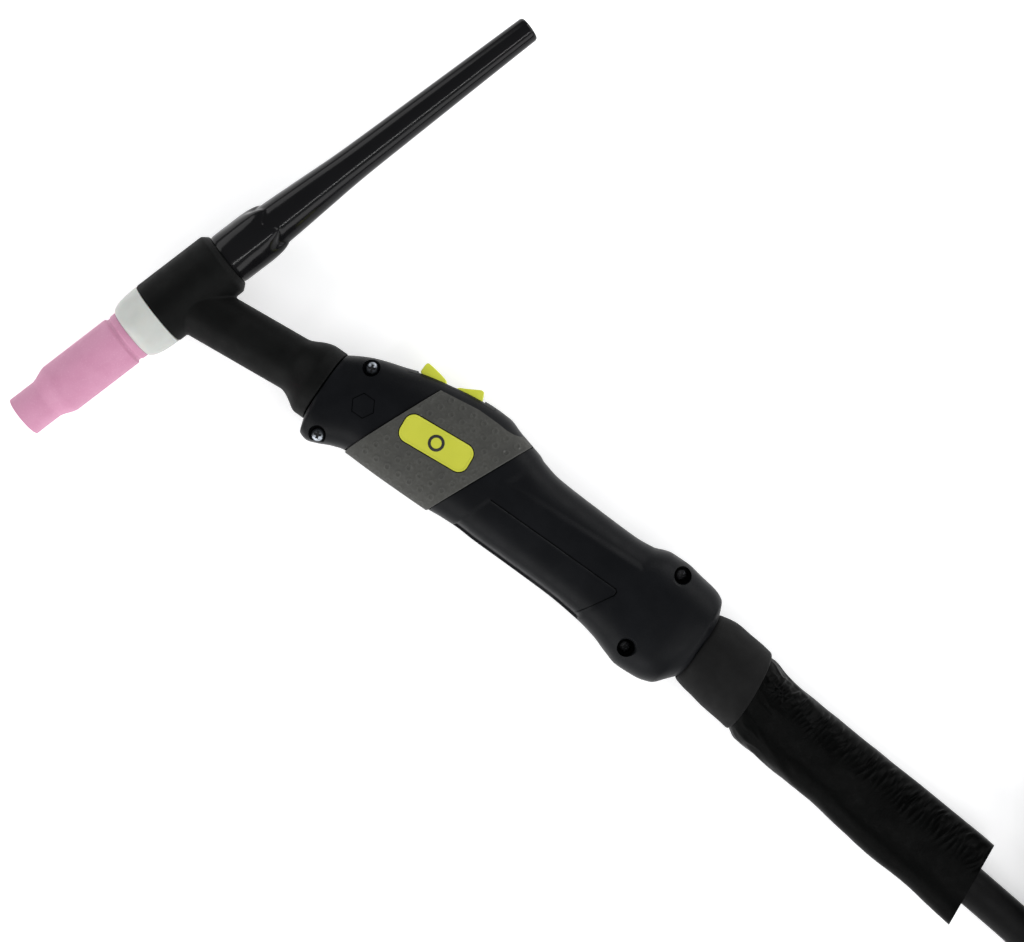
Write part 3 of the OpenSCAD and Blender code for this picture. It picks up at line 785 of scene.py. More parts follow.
HANDLE = [
    (60.8, -10.2, 17.5, 12.8), (62.5, -14.6, 18.6, 13), (65.5, -15.4, 20.3, 13.2),
    (69, -14.3, 22, 13.4), (74, -12, 23.8, 13.8), (79, -10.6, 25.3, 14.1),
    (86, -10.8, 27.6, 14.4), (96, -11, 29.8, 14.65), (106, -11, 31.4, 14.75),
    (114, -10.9, 32, 14.75), (120, -10.4, 31.8, 14.7), (126, -10.2, 30, 14.5),
    (134, -10.6, 27.9, 14.3), (147, -10.8, 24.8, 14.1), (165, -11.2, 23.9, 14),
    (180, -12.6, 23.5, 14.3), (188, -14.2, 24.3, 14.8), (194, -16.2, 25.9, 15.3),
    (200, -17.7, 26, 15.5), (207, -17.4, 25, 15.4), (213, -15.8, 24.1, 14.8),
    (217, -11.5, 22.4, 13.8), (219.5, -8.5, 17.5, 12)]
HANDLE_POWER = 2.6
WALL = 2.4
PANEL = [(77.7, -14), (96.6, 29.8), (133.8, 32), (113, -14)]
PANEL_LIFT, PANEL_LOW = 0.7, 3.0
DOT_ROW, DOT_STEP, DOT_SLANT = 3.8, 4.6, 1.8
PAD_A = [(121.5, -20), (130, 4.7), (184, 4.3), (184.6, 2), (176.5, -20)]
PAD_B = [(131, 12), (188, 14.5), (193, 40), (140.5, 40)]
FRONT_SCREWS = [(70.6, 18.4, 5.9), (68.3, -11.3, 5.9)]
REAR_SCREWS = [(200.2, 21.4, 4.6), (198.3, -10.4, 4.6)]
BADGE_AT = np.array([104.2, 10.0])
BADGE_SIZE, BADGE_ROUND = (26.7, 10.2), 3.5
BADGE_TILT = math.radians(4.5)
BADGE_Z = (14.8, 15.5)
BEZEL_X, BEZEL_W, BEZEL_WALL = (81.6, 114.0), 15.0, 1.9
SLOT_X = (84.0, 109.5)
PIN_AT = (97, 25, 0)
RECESS_TURNS = (0.35, 0.35 + math.pi / 2)
HEX_AT, HEX_R = (76.1, 6.1), 4.3
SIDE = {1: "top", -1: "bottom"}  # the half above the parting plane, and the one below


def handle_point(x, t, lift=0.0):
    """A point of the handle's skin at x and section angle t, moved out by lift."""
    low, high, half = np.moveaxis(curve_through(HANDLE, x), -1, 0)
    mid, wide = (low + high) / 2, (high - low) / 2
    power = 2 / HANDLE_POWER
    c, s = np.cos(t), np.sin(t)
    ny = signed_power(c, 2 - power) / wide
    nz = signed_power(s, 2 - power) / half
    size = np.hypot(ny, nz)
    return np.stack(np.broadcast_arrays(x, mid + wide * signed_power(c, power) + lift * ny / size,
                                        half * signed_power(s, power) + lift * nz / size), -1)


def outside(corners, x, y):
    """Distance outside a convex outline in the XY plane, negative inside it."""
    corners = np.array(corners, float)
    middle = corners.mean(0)
    distance = np.full(np.shape(x), -1e9)
    for a, b in zip(corners, np.roll(corners, -1, 0)):
        edge = (b - a) / np.linalg.norm(b - a)
        normal = np.array([edge[1], -edge[0]])
        if normal @ (middle - a) > 0:
            normal = -normal
        distance = np.maximum(distance, (x - a[0]) * normal[0] + (y - a[1]) * normal[1])
    return distance


def handle_form(lift, more=0.0):
    """A plain closed form of the handle, offset by lift and longer by more at each end."""
    xs = np.unique(np.concatenate([np.arange(60.8, 219.5, 2.0), [r[0] for r in HANDLE]]))
    t = circle(96)
    rings = handle_point(xs[:, None], t[None, :], lift)
    rings[0, :, 0] -= more
    rings[-1, :, 0] += more
    return skin("form", rings)


def shell_relief(points):
    """How far the moulded skin stands above its plain form, from the grip pads and the seam."""
    x, y, z = np.moveaxis(points, -1, 0)
    above_ledge = step_up(z, 2.2, 2.8)
    pad_a = 1 - step_up(outside(PAD_A, x, y), -0.7, 0.1)
    pad_b = 1 - step_up(outside(PAD_B, x, y), -2.6, 0.4)
    seam = np.clip(1 - z / 0.45, 0, 1)
    deep_a = 0.34 + 0.6 * (1 - step_up(z, 4, 11))
    return -deep_a * pad_a * above_ledge - 0.42 * pad_b - 0.25 * seam


def half_shell(side):
    xs = np.unique(np.concatenate([np.linspace(60.8, 64, 12), np.linspace(64, 213, 250),
                                   np.linspace(213, 219.5, 30)]))
    t = np.concatenate([[0, 0.003, 0.008, 0.014], np.linspace(0.022, np.pi - 0.022, 170),
                        np.pi - np.array([0.014, 0.008, 0.003, 0])])
    plain = handle_point(xs[:, None], t[None, :])
    rings = handle_point(xs[:, None], t[None, :], shell_relief(plain))
    rings[..., 2] = np.maximum(rings[..., 2], 0.0)
    rings[..., 2] *= side
    return skin(f"handle_{SIDE[side]}", rings, "handle_black")


def on_side(side, near, far):
    """Two heights above or below the parting plane, the lower one first."""
    return sorted((side * near, side * far))


def groove_wall(line, width, side):
    """An upright wall along a line of points in the plane, for cutting a groove."""
    line = [np.array(p, float) for p in line]
    left, right = [], []
    for i, p in enumerate(line):
        along = line[min(i + 1, len(line) - 1)] - line[max(i - 1, 0)]
        along /= np.linalg.norm(along)
        across = np.array([-along[1], along[0]]) * width / 2
        left.append(p + across)
        right.append(p - across)
    return stand("groove", left + right[::-1], *on_side(side, 3, 22))


def moved(line, dx, dy):
    return [(p[0] + dx, p[1] + dy) for p in line]


def grooves(side):
    """Fine lines in the skin: beside the panel, round the grip pad and the hexagon."""
    pad = [(130.6, 4.75), (157, 4.6), (183.6, 4.3), (184.4, 3.6), (184.4, 2.2), (176.3, -12)]
    lines = [groove_wall(moved([PANEL[0], (94.8, 25.7)], -0.2, 0.08), 0.36, side),
             groove_wall(moved([PANEL[3], PANEL[2]], 0.2, -0.08), 0.36, side),
             groove_wall(pad, 0.5, side)]
    low, high = on_side(side, 6, 22)
    inner, outer = HEX_R - 0.15, HEX_R + 0.2
    hexagon = lathe("hexagon", [(inner, low), (outer, low), (outer, high), (inner, high)],
                    at=(*HEX_AT, 0), sides=6)
    return cut(joined(*lines, hexagon), handle_form(-0.8, 3))


def post(screw_at, radius, low=-14, high=14):
    return rod(radius, low, high, at=(screw_at[0], screw_at[1], 0))


def switch_space():
    """The opening that the switch's frame fills."""
    half = BEZEL_W / 2 + 0.1
    return box("space", (BEZEL_X[0] - 0.1, 21.6, -half), (BEZEL_X[1] + 0.1, 50, half))


def handle_shell(side):
    shell = half_shell(side)
    hollow = handle_form(-WALL, 1.0)
    cut(hollow, joined(*[post(s, 4.2) for s in FRONT_SCREWS], *[post(s, 4.8) for s in REAR_SCREWS]))
    cut(shell, hollow)
    cut(shell, switch_space())
    for s in FRONT_SCREWS + REAR_SCREWS:
        if side > 0:
            well = [(0, s[2]), (3.15, s[2]), (3.15, 12.2), (3.25, 12.8), (3.9, 13.6), (4.4, 30), (0, 30)]
            cut(shell, lathe("well", well, at=(s[0], s[1], 0), sides=64))
            cut(shell, post(s, 1.7, -1, 20))
        else:
            cut(shell, post(s, 1.52, -9, 3))
    cut(shell, grooves(side))
    return place(shell, f"handle_shell_{SIDE[side]}")


def panel_ends(y):
    """X of the panel's slanted front and rear edge at y."""
    ends = []
    for a, b in ((PANEL[0], PANEL[1]), (PANEL[3], PANEL[2])):
        ends.append(a[0] + (b[0] - a[0]) * (y - a[1]) / (b[1] - a[1]))
    return ends


def panel_grid(columns, angles):
    """Places on the handle inside the panel's outline: x and section angle for each grid point."""
    x = np.full((len(angles), len(columns)), 105.0)
    for _ in range(12):
        front, rear = panel_ends(handle_point(x, angles[:, None])[..., 1])
        x = front + (rear - front) * columns[None, :]
    return x


def panel_edge(x):
    """Where the panel ends below the black shoulder beside the switch."""
    return np.interp(x, [88, 95.8, 109.6, 118, 121.5, 124.5, 127.3, 128.6, 130],
                     [25.0, 26.0, 27.9, 27.8, 27.5, 27.8, 28.8, 31, 38])


def panel_relief(points):
    """Small raised rings in slanted rows, on ground that rounds off at the panel's edges."""
    x, y, z = np.moveaxis(points, -1, 0)
    row = np.round((y + 2.0) / DOT_ROW)
    dy = y + 2.0 - DOT_ROW * row
    dx = (x - DOT_SLANT * row + DOT_STEP / 2) % DOT_STEP - DOT_STEP / 2
    r = np.hypot(dx, dy)
    ring = np.exp(-((r - 0.95) / 0.34) ** 2) - 0.25 * np.exp(-(r / 0.4) ** 2)
    front, rear = panel_ends(y)
    edge = np.minimum(np.minimum(x - front, rear - x), np.minimum(z - PANEL_LOW, panel_edge(x) - y))
    badge = badge_distance(x, y)
    corner = step_up(y, 21, 27) * (1 - step_up(z, 5, 10)) * step_up(x, 122, 127)
    clear = step_up(np.minimum(edge, badge), 0.9, 1.3) * step_up(z, 5, 7.5) * (1 - corner)
    border = np.clip(np.minimum(np.maximum(edge, 0), np.maximum(badge, 0)) / 0.35, 0, 1)
    lift = PANEL_LIFT - 0.3 * (1 - np.sqrt(1 - (1 - border) ** 2)) + 0.24 * ring * clear
    return np.maximum(lift - 0.62 * corner, 0.1)


def badge_distance(x, y):
    """Distance outside the badge's rounded outline."""
    c, s = math.cos(BADGE_TILT), math.sin(BADGE_TILT)
    u = (x - BADGE_AT[0]) * c + (y - BADGE_AT[1]) * s
    v = -(x - BADGE_AT[0]) * s + (y - BADGE_AT[1]) * c
    r = BADGE_ROUND
    qu, qv = np.abs(u) - BADGE_SIZE[0] / 2 + r, np.abs(v) - BADGE_SIZE[1] / 2 + r
    return np.hypot(np.maximum(qu, 0), np.maximum(qv, 0)) + np.minimum(np.maximum(qu, qv), 0) - r


def patch(name, fine, coarse_step, inner, look):
    """A closed plate: a fine outer grid, an inner one of every few points, and a rim between them."""
    rows, cols = fine.shape[:2]
    k = coarse_step
    coarse = inner[::k, ::k]
    crows, ccols = coarse.shape[:2]
    start = rows * cols
    faces = [(i * cols + j, i * cols + j + 1, (i + 1) * cols + j + 1, (i + 1) * cols + j)
             for i in range(rows - 1) for j in range(cols - 1)]
    faces += [(start + i * ccols + j, start + (i + 1) * ccols + j,
               start + (i + 1) * ccols + j + 1, start + i * ccols + j + 1)
              for i in range(crows - 1) for j in range(ccols - 1)]
    for fixed, along_row in ((0, True), (crows - 1, True), (0, False), (ccols - 1, False)):
        for j in range((ccols if along_row else crows) - 1):
            def low(n):
                return start + (fixed * ccols + n if along_row else n * ccols + fixed)

            def high(n):
                return fixed * k * cols + n if along_row else n * cols + fixed * k
            faces.append((low(j), *[high(n) for n in range(j * k, (j + 1) * k + 1)], low(j + 1)))
    points = np.vstack([fine.reshape(-1, 3), coarse.reshape(-1, 3)])
    return piece(name, points, faces, look)


def badge_outline(more=0.0):
    """The badge's rounded outline, larger by more on each side."""
    c, s = math.cos(BADGE_TILT), math.sin(BADGE_TILT)
    r = BADGE_ROUND + more
    out = []
    for i, (sx, sy) in enumerate([(1, 1), (-1, 1), (-1, -1), (1, -1)]):
        for a in np.linspace(0, math.pi / 2, 9) + i * math.pi / 2:
            u = sx * (BADGE_SIZE[0] / 2 - BADGE_ROUND) + r * math.cos(a)
            v = sy * (BADGE_SIZE[1] / 2 - BADGE_ROUND) + r * math.sin(a)
            out.append((BADGE_AT[0] + u * c - v * s, BADGE_AT[1] + u * s + v * c))
    return out


def grip_panel(side):
    k = 4
    columns = np.linspace(0, 1, 40 * k + 1)
    low = math.asin((PANEL_LOW / 14.5) ** (HANDLE_POWER / 2))
    angles = np.linspace(low, math.pi - low, 52 * k + 1)
    x = panel_grid(columns, angles)
    plain = handle_point(x, angles[:, None])
    fine = handle_point(x, angles[:, None], panel_relief(plain))
    inner = handle_point(x, angles[:, None], 0.03)
    for grid in (fine, inner):
        grid[..., 2] *= side
    plate = patch(f"panel_{SIDE[side]}", fine, k, inner, "panel_grey")
    cut(plate, switch_space(), 40)
    cut(plate, stand("window", badge_outline(0.36), *on_side(side, 8, 30)), 40)
    shoulder = [(x, float(panel_edge(x))) for x in np.linspace(88, 129.5, 84)] + [(129.5, 60), (88, 60)]
    cut(plate, stand("shoulder", shoulder, *on_side(side, 0, 30)), 40)
    return place(plate, f"grip_panel_{SIDE[side]}")


def badge(side):
    """A plate with a raised rim, and a plain ring printed on it."""
    z0, z1 = BADGE_Z
    sunk = z1 - 0.13
    levels = [(0, z0), (0, z1 - 0.16), (-0.12, z1), (-0.5, z1), (-0.62, sunk)]
    rings = [np.column_stack([badge_outline(more), np.full(36, z * side)]) for more, z in levels]
    node = f"badge_{SIDE[side]}"
    place(skin(f"badge_plate_{SIDE[side]}", rings, "badge_green", degrees=25), node)
    ring = np.column_stack([np.cos(circle(64)), np.sin(circle(64))])
    low, high = on_side(side, sunk - 0.1, sunk + 0.06)
    mark = stand(f"badge_ring_{SIDE[side]}", BADGE_AT + 2.9 * ring, low, high, "mark_black")
    cut(mark, stand("hole", BADGE_AT + 1.9 * ring, low - 1, high + 1), 40)
    place(bevelled(mark, 0.05, 2), node, slot="handle_black", replaced=False)


# ---------------- screws and switch


def recess_arm(at, turn, u, v, height):
    """One arm of a cross recess at a height over the screw's seat, as a ring of points."""
    c, s = math.cos(turn), math.sin(turn)
    return [(at[0] + i * c - j * s, at[1] + i * s + j * c, at[2] + height)
            for i, j in ((-u, -v), (u, -v), (u, v), (-u, v))]


def screw(name, at, look):
    """A pan head with a cross recess, and a threaded shank."""
    head = [(0, 1.75), (0.9, 1.73)] + [(2.25 * math.sin(a), 0.55 + 1.2 * math.cos(a) ** 0.8)
                                       for a in np.linspace(0.45, math.pi / 2 - 0.01, 10)]
    head += [(2.25, 0.15), (2.1, 0.02), (1.5, 0.02)]
    low = -at[2] - 7.6
    shank = steps(-0.3, low, 0.2, 1.48) + [(1.0, low - 0.4), (0, low - 0.4)]
    obj = lathe(name, head + shank, look, at=at, sides=48,
                wave=thread(1.0, 0.35, low, -1.0, under=-0.2), degrees=35)
    for turn in RECESS_TURNS:
        arm = [recess_arm(at, turn, 1.054, 0.4, 0.35), recess_arm(at, turn, 1.7, 0.5, 2.5)]
        cut(obj, skin("arm", arm), 35)
    return obj


def painted_recess_shade(name, at):
    """Painted shade: a flat black cross set in a cross recess, where only shade falls."""
    first, second = [skin(name, [recess_arm(at, turn, 1.4, 0.4, height) for height in (0.2, 1.38)],
                          "mark_black") for turn in RECESS_TURNS]
    return add(first, second)


def screws():
    ends = (("front", "screw_zinc", FRONT_SCREWS), ("rear", "screw_dark", REAR_SCREWS))
    for end, look, places in ends:
        place(joined(*[screw(f"{end}_pan_screws", at, look) for at in places]), f"{end}_screws")
    # painted shade: a black cross in each screw's cross recess
    for end, _, places in ends:
        for i, at in enumerate(places):
            shade = painted_recess_shade(f"{end}_screws_recess_{i}", at)
            place(shade, f"{end}_screws", slot="handle_black", replaced=False)


def switch_bezel():
    half = BEZEL_W / 2
    outline = [(BEZEL_X[0], 21.8), (BEZEL_X[1], 21.8), (BEZEL_X[1], 32.3), (107, 31.8), (98, 30.5),
               (91, 29), (86, 28), (BEZEL_X[0], 26.7)]
    bezel = stand("switch_frame", outline, -half, half, "handle_black")
    combine(bezel, handle_form(0.02), "INTERSECT")
    bevelled(bezel, 0.12, 2, 50)
    inner = half - BEZEL_WALL
    cut(bezel, box("slot", (SLOT_X[0], 20, -inner), (SLOT_X[1], 50, inner)))
    cut(bezel, rod(1.22, -15, 15, at=PIN_AT, sides=32))
    return place(bezel, "switch_bezel")


def rocker():
    """A see-saw button: two raised ends and a low middle over the pin."""
    half = 5.2
    outline = [(84.9, 27.2), (84.9, 30.4), (85.5, 31.35), (87.5, 31.15), (89.6, 30.85), (91.8, 30.45),
               (93.8, 29.95), (94.7, 29.0), (95.6, 28.45), (97.5, 28.45), (98.3, 29.3), (99.3, 30.4),
               (102, 31.8), (106.2, 34.2), (107.2, 34.1),
               (108.5, 31.2), (108.5, 28.4), (106.5, 25.9), (87.5, 25.9)]
    button = bevelled(stand("rocker_key", outline, -half, half, "rocker_yellow"), 0.35, 3, 25)
    add(button, rod(2.7, -half, half, at=PIN_AT), 40)
    cut(button, rod(1.25, -15, 15, at=PIN_AT, sides=32), 40)
    return place(button, "rocker_button")


# ---------------- boot and sleeve

BOOT = [(219.6, 3.9, 0, 13.6, 13), (226, 3.8, 0, 14.9, 14), (233, 2.9, 0, 15.3, 14.2),
        (240, 2.2, 0, 15.4, 14.3), (243.9, 1.6, 0, 15.4, 14.2)]
SLEEVE = [(238, 1.5, 0, 13.4, 12.4), (243.4, 1.3, -0.2, 14.6, 12.9), (247.5, 0.1, -1, 15.3, 12.8),
          (254, -1.1, -1.8, 14.7, 12.2), (267, -2.3, -2.8, 14.9, 11.5), (282, -3.4, -3.8, 14.9, 11),
          (297, -5, -4.7, 15.6, 10.5), (310, -6.2, -5.1, 15.9, 10.2), (325, -7.2, -5.4, 16, 10),
          (346.4, -9.7, -5.6, 16.5, 9.8)]
SLEEVE_POWER = 2.2
SLEEVE_SHEAR = -0.09
LEATHER_T = 1.5
LEATHER_ROUND = 86.0
SLEEVE_LOWEST = -15.45
PUCKERED_X = (246, 349)
BOOT_INSIDE = [(212, 4.1, 0, 7.6, 7.4), (221, 3.6, 0, 7.6, 7.4), (228, 2.6, 0, 10, 9.8),
               (236, 1.6, 0, 14.0, 12.9), (245, 1.5, -0.2, 14.9, 13.5)]
BOOT_FLANGE = [(213.8, 8.2), (213.8, 10.3), (214.1, 10.6), (215.8, 10.6), (216, 10.3), (216, 9), (219.4, 9)]


def tube_point(table, x, t, lift=0.0, power=2.0, shear=0.0):
    """A point on a tube given by sections: x, centre y, centre z, half width, half thickness."""
    cy, cz, wide, high = np.moveaxis(curve_through(table, x), -1, 0)
    c, s = np.cos(t), np.sin(t)
    p = 2 / power
    dy, dz = wide * signed_power(c, p), high * signed_power(s, p)
    ny, nz = signed_power(c, 2 - p) / wide, signed_power(s, 2 - p) / high
    size = np.hypot(ny, nz)
    dy, dz = dy + lift * ny / size, dz + lift * nz / size
    return np.stack(np.broadcast_arrays(x + shear * dy, cy + dy, cz + dz), -1)


def boot_ring(table, x, angle, lift=0.0):
    return tube_point(table, np.float64(x), angle, lift, shear=-0.07 * step_up(x, 225, 243))


def cable_boot():
    """The moulded collar, its rounded lip over the leather and its flange inside the handle."""
    angle = circle(128)
    xs = np.concatenate([[219.6], np.linspace(219.9, 243.0, 60), [243.4, 243.7, 243.85]])
    ease = np.interp(xs, [219.6, 219.9, 220.6, 242.9, 243.4, 243.7, 243.85],
                     [-0.5, -0.25, 0, 0, -0.12, -0.35, -0.7])
    rings = [boot_ring(BOOT, x, angle, e) for x, e in zip(xs, ease)]
    rings += [boot_ring(BOOT_INSIDE, x, angle)
              for x in (243.8, 240, 236, 232, 228, 224, 221, 217, 213.9)]
    for x, r in BOOT_FLANGE:
        rings.append(np.column_stack([np.full(128, x), 3.8 + r * np.cos(angle), r * np.sin(angle)]))
    return place(skin("strain_boot", rings, "boot_grey", wrap=True), "cable_boot")


def ridges(x, count, low, high, seed):
    """A row of folds at uneven distances along x: a wave from 0 to 1, and a strength for each fold."""
    rng = random.Random(seed)
    gaps = np.array([rng.uniform(0.55, 1.5) for _ in range(count)])
    places = low + (high - low) * np.cumsum(gaps) / gaps.sum()
    strength = np.array([rng.uniform(0.35, 1.25) for _ in range(count)])
    phase = np.interp(x, places, np.arange(count))
    fold = (0.5 + 0.5 * np.cos(2 * np.pi * phase)) ** 2.2
    nearest = np.clip(np.round(phase).astype(int), 0, count - 1)
    return fold * strength[nearest]


def wavy(x, y, seed, size):
    """Smooth seeded noise, about from -1 to 1, of that wavelength in millimetres."""
    rng = random.Random(seed)
    waves = 9
    total = np.zeros(np.broadcast(x, y).shape)
    for _ in range(waves):
        a, phase = rng.uniform(0, 2 * math.pi), rng.uniform(0, 2 * math.pi)
        k = 2 * math.pi / (size * rng.uniform(0.7, 1.5))
        total += np.sin(k * (x * math.cos(a) + y * math.sin(a)) + phase)
    return total / math.sqrt(waves)


def leather_relief(x, t, around):
    """Puckers under the upper edge, gathers at the collar, a few long creases and a soft unevenness.

    x is along the sleeve, t the section angle and around the distance along the section.
    """
    relief = np.zeros(np.broadcast(x, t).shape)
    for side, seed in ((1, 3), (-1, 8)):
        q = np.where(side * np.sin(t) > -0.2, around if side > 0 else LEATHER_ROUND - around, 99)
        q = q + 0.8 * wavy(x, q, seed + 20, 14)
        band = np.exp(-((q - 9.5) / 3.6) ** 2)
        lean = x + 0.35 * (q - 9) + 0.5 * wavy(x, q, seed + 30, 9)
        relief += 0.85 * band * ridges(lean, 32, *PUCKERED_X, seed)
        fine = np.exp(-((q - 13.0) / 3.2) ** 2)
        relief += 0.38 * fine * ridges(lean + 1.3, 46, *PUCKERED_X, seed + 1)
    near = np.exp(-((x - 249) / 6.5) ** 2)
    relief += 0.26 * near * ridges(around + 0.6 * wavy(x, around, 41, 7), 25, -2, LEATHER_ROUND + 2, 12)
    mid = np.exp(-((x - 262) / 13) ** 2)
    relief += 0.28 * mid * ridges(around - 0.42 * (x - 250), 17, -30, LEATHER_ROUND + 30, 17)
    relief += 0.08 * wavy(x, around, 5, 22) + 0.03 * wavy(x, around, 6, 6)
    return relief


def sleeve_skin(x, t, lift, lowest):
    """The sleeve's grid of points, flat where it rests on the floor."""
    points = tube_point(SLEEVE, x, t, lift, SLEEVE_POWER, SLEEVE_SHEAR)
    points[..., 2] = np.maximum(points[..., 2], lowest)
    return points


def leather_sleeve():
    """The leather cover: an outer skin with its folds, and a suede inside."""
    t = circle(320)[None, :]
    x = np.linspace(SLEEVE[0][0], SLEEVE[-1][0], 330)[:, None]
    plain = tube_point(SLEEVE, x, t, 0, SLEEVE_POWER, SLEEVE_SHEAR)
    seg = np.linalg.norm(np.roll(plain, -1, 1) - plain, axis=2)
    around = np.cumsum(seg, axis=1) - seg
    around = around / (around[:, -1:] + seg[:, -1:]) * LEATHER_ROUND
    lift = leather_relief(x, t, around) * step_up(x, 243.5, 247) - 0.35
    outer = sleeve_skin(x, t, lift, SLEEVE_LOWEST)
    inner = sleeve_skin(x, t, lift * 0.5 - LEATHER_T, SLEEVE_LOWEST + LEATHER_T)
    rings = np.concatenate([outer, inner[::-1]])
    # a slanted end, which looks straight from above
    rings[..., 0] -= (0.33 * (rings[..., 2] + 5.6) - 2.6) * step_up(rings[..., 0], 322, 346)
    sleeve = skin("leather_cover", rings, "leather_black", wrap=True, degrees=50)
    sleeve.data.materials.append(LOOK["leather_back"])
    place(sleeve, "leather_sleeve")
    centres = np.array([p.center for p in sleeve.data.polygons]) / MM
    normals = np.array([p.normal for p in sleeve.data.polygons])
    middle = curve_through(SLEEVE, centres[:, 0])[:, :2]
    inward = (normals[:, 1:] * (centres[:, 1:] - middle)).sum(1) < 0
    sleeve.data.polygons.foreach_set("material_index", inward.astype(np.int32))


# ---------------- on the cable


def tie_band(inner, outer, low, high):
    """A strap round the bundle. Its outline is in the plane of the coil's radius and Z."""
    outline = np.array(rounded([(inner, low), (outer, low), (outer, high), (inner, high)], 6.5, 8))
    normals = np.roll(outline, -1, 0) - np.roll(outline, 1, 0)
    normals = np.column_stack([normals[:, 1], -normals[:, 0]])
    normals /= np.linalg.norm(normals, axis=1)[:, None]
    half, ease = TIE_WIDTH / 2, 0.35
    section = [(-half, ease), (ease - half, 0), (half - ease, 0), (half, ease), (half, TIE_T - ease),
               (half - ease, TIE_T), (ease - half, TIE_T), (-half, TIE_T - ease)]
    rings = []
    for across, grow in section:
        line = outline + normals * grow
        rings.append(np.array([*COIL_AT, 0]) + line[:, :1] * TIE_OUT + across * TIE_SIDE
                     + line[:, 1:] * np.array(UP))
    return skin("hook_strap", rings, "tie_black", wrap=True, degrees=40)


def coil_tie():
    """A hook and loop strap, with its end laid over itself on top."""
    inner = COIL_R - COIL_TURNS * CABLE_D - CABLE_D / 2
    outer = COIL_R + CABLE_D / 2
    high = COIL_HIGH + CABLE_D / 2 + TIE_T + 0.1
    band = tie_band(inner - 0.2, outer + 0.2, -14.3, high)
    tab = rounded([(inner + 8, -5.4), (inner + 42, -5.4), (inner + 47, 0), (inner + 42, 5.4),
                   (inner + 8, 5.4)], 3, 5)
    outline = [COIL_AT + u * TIE_OUT[:2] + v * TIE_SIDE[:2] for u, v in tab]
    flap = bevelled(stand("strap_end", outline, high + TIE_T - 0.05, high + 2 * TIE_T - 0.1, "tie_black"),
                    0.3, 2)
    return place(band, "coil_tie"), place(flap, "coil_tie", replaced=False)


def splitter_ring(x, row):
    """A rounded box section, smaller at each of three shallow grooves."""
    t = circle(96)
    groove = 0.35 * any(abs(x - at) < 0.9 for at in (568, 571, 574))
    cy, cz, wide, high, power = row
    return np.column_stack([np.full(96, x), cy + (wide - groove) * signed_power(np.cos(t), 2 / power),
                            cz + (high - groove) * signed_power(np.sin(t), 2 / power)])


def splitter():
    """A moulded rubber fork: round where the cable enters, flat where the three tails leave."""
    table = [(548, -26, -7.4, 7.9, 7.9, 2), (550, -26, -7.3, 8.2, 8.1, 2), (556, -26, -6.3, 11.5, 9.1, 2.3),
             (562, -26, -5, 15.4, 10.4, 3), (566, -26, -4.5, 16.4, 10.9, 4), (580, -26, -4.5, 16.5, 11, 4.4),
             (583.3, -26, -4.5, 16.4, 10.9, 4.4), (583.8, -26, -4.5, 16.0, 10.5, 4.4),
             (584, -26, -4.5, 15.2, 9.8, 4.4)]
    xs = np.concatenate([np.arange(548, 583, 0.6), [583, 583.3, 583.6, 583.85, 584]])
    rings = [splitter_ring(x, row) for x, row in zip(xs, curve_through(table, xs))]
    fork = skin("splitter_block", rings, "rubber_black")
    for route, r in ((GAS_TAIL, GAS_D / 2), (CONTROL_TAIL, CONTROL_D / 2)):
        x, y, z = route[0]
        profile = [(0, -1), (r + 1.6, -1), (r + 1.5, 0.5), (r + 0.55, 5), (r + 0.2, 5.3), (0, 5.3)]
        collar = lathe("collar", profile, None, ALONG, (x, y, z + 0.3), 40)
        cut(collar, box("under", (570, -80, -40), (600, 40, -15.48)))
        add(fork, collar)
        cut(fork, rod(r + 0.02, -0.4, 9, ALONG, route[0]))
    return place(fork, "cable_splitter")


PLUG_AXIS = (584.0, -26.0, -2.5)


def ribbed_neck(count, start, pitch, radius, grow, depth, ease, width):
    """Profile points of grooves of that depth and width, on a neck that grows a little at each."""
    out = []
    for i in range(count):
        h, r = start + pitch * i, radius + grow * i
        out += [(r, h), (r - depth, h + ease), (r - depth, h + width - ease), (r, h + width)]
    return out


def power_plug():
    """Rubber body with a ribbed neck and finger grooves, and the brass bayonet pin."""
    profile = [(0, 0.05), (7.3, 0.05), (7.5, 0.4)]
    profile += ribbed_neck(9, 2.2, 2.3, 7.6, 1.3 / 8, 0.75, 0.3, 1.25)
    profile += [(9.0, 24), (10.4, 25.8), (12.2, 28.2), (12.9, 30.6)] + steps(32, 61.2, 1.2, 13)
    profile += [(12.9, 62.6), (12.3, 63.8), (11.6, 64), (0, 64)]

    def grip(angle, height):
        deep = step_up(height, 34, 37) * (1 - step_up(height, 56, 59))
        return -0.8 * deep * np.clip(1.4 * np.cos(10 * angle) - 0.2, 0, 1)
    body = lathe("plug_body", rounded(profile, 0.3, 2), "rubber_black", ALONG, PLUG_AXIS, 120, grip)
    cut(body, rod(6.02, 44, 70, ALONG, PLUG_AXIS, 64))
    place(body, "power_plug_body")
    pin = rounded([(0, 44), (5.98, 44), (5.98, 64), (6.2, 64), (6.2, 68), (6.5, 68), (6.5, 88.8),
                   (6.5, 90), (5.0, 91.5), (0, 91.5)], 0.4, 3)
    brass = lathe("plug_pin", pin, "brass", ALONG, PLUG_AXIS, 96)
    x0, y0, z0 = PLUG_AXIS
    lug = bevelled(box("lug", (x0 + 64.1, y0 - 1.75, z0 + 4), (x0 + 67.7, y0 + 1.75, z0 + 8.1)), 0.4, 3)
    add(brass, lug)
    return body, place(brass, "power_plug_pin")


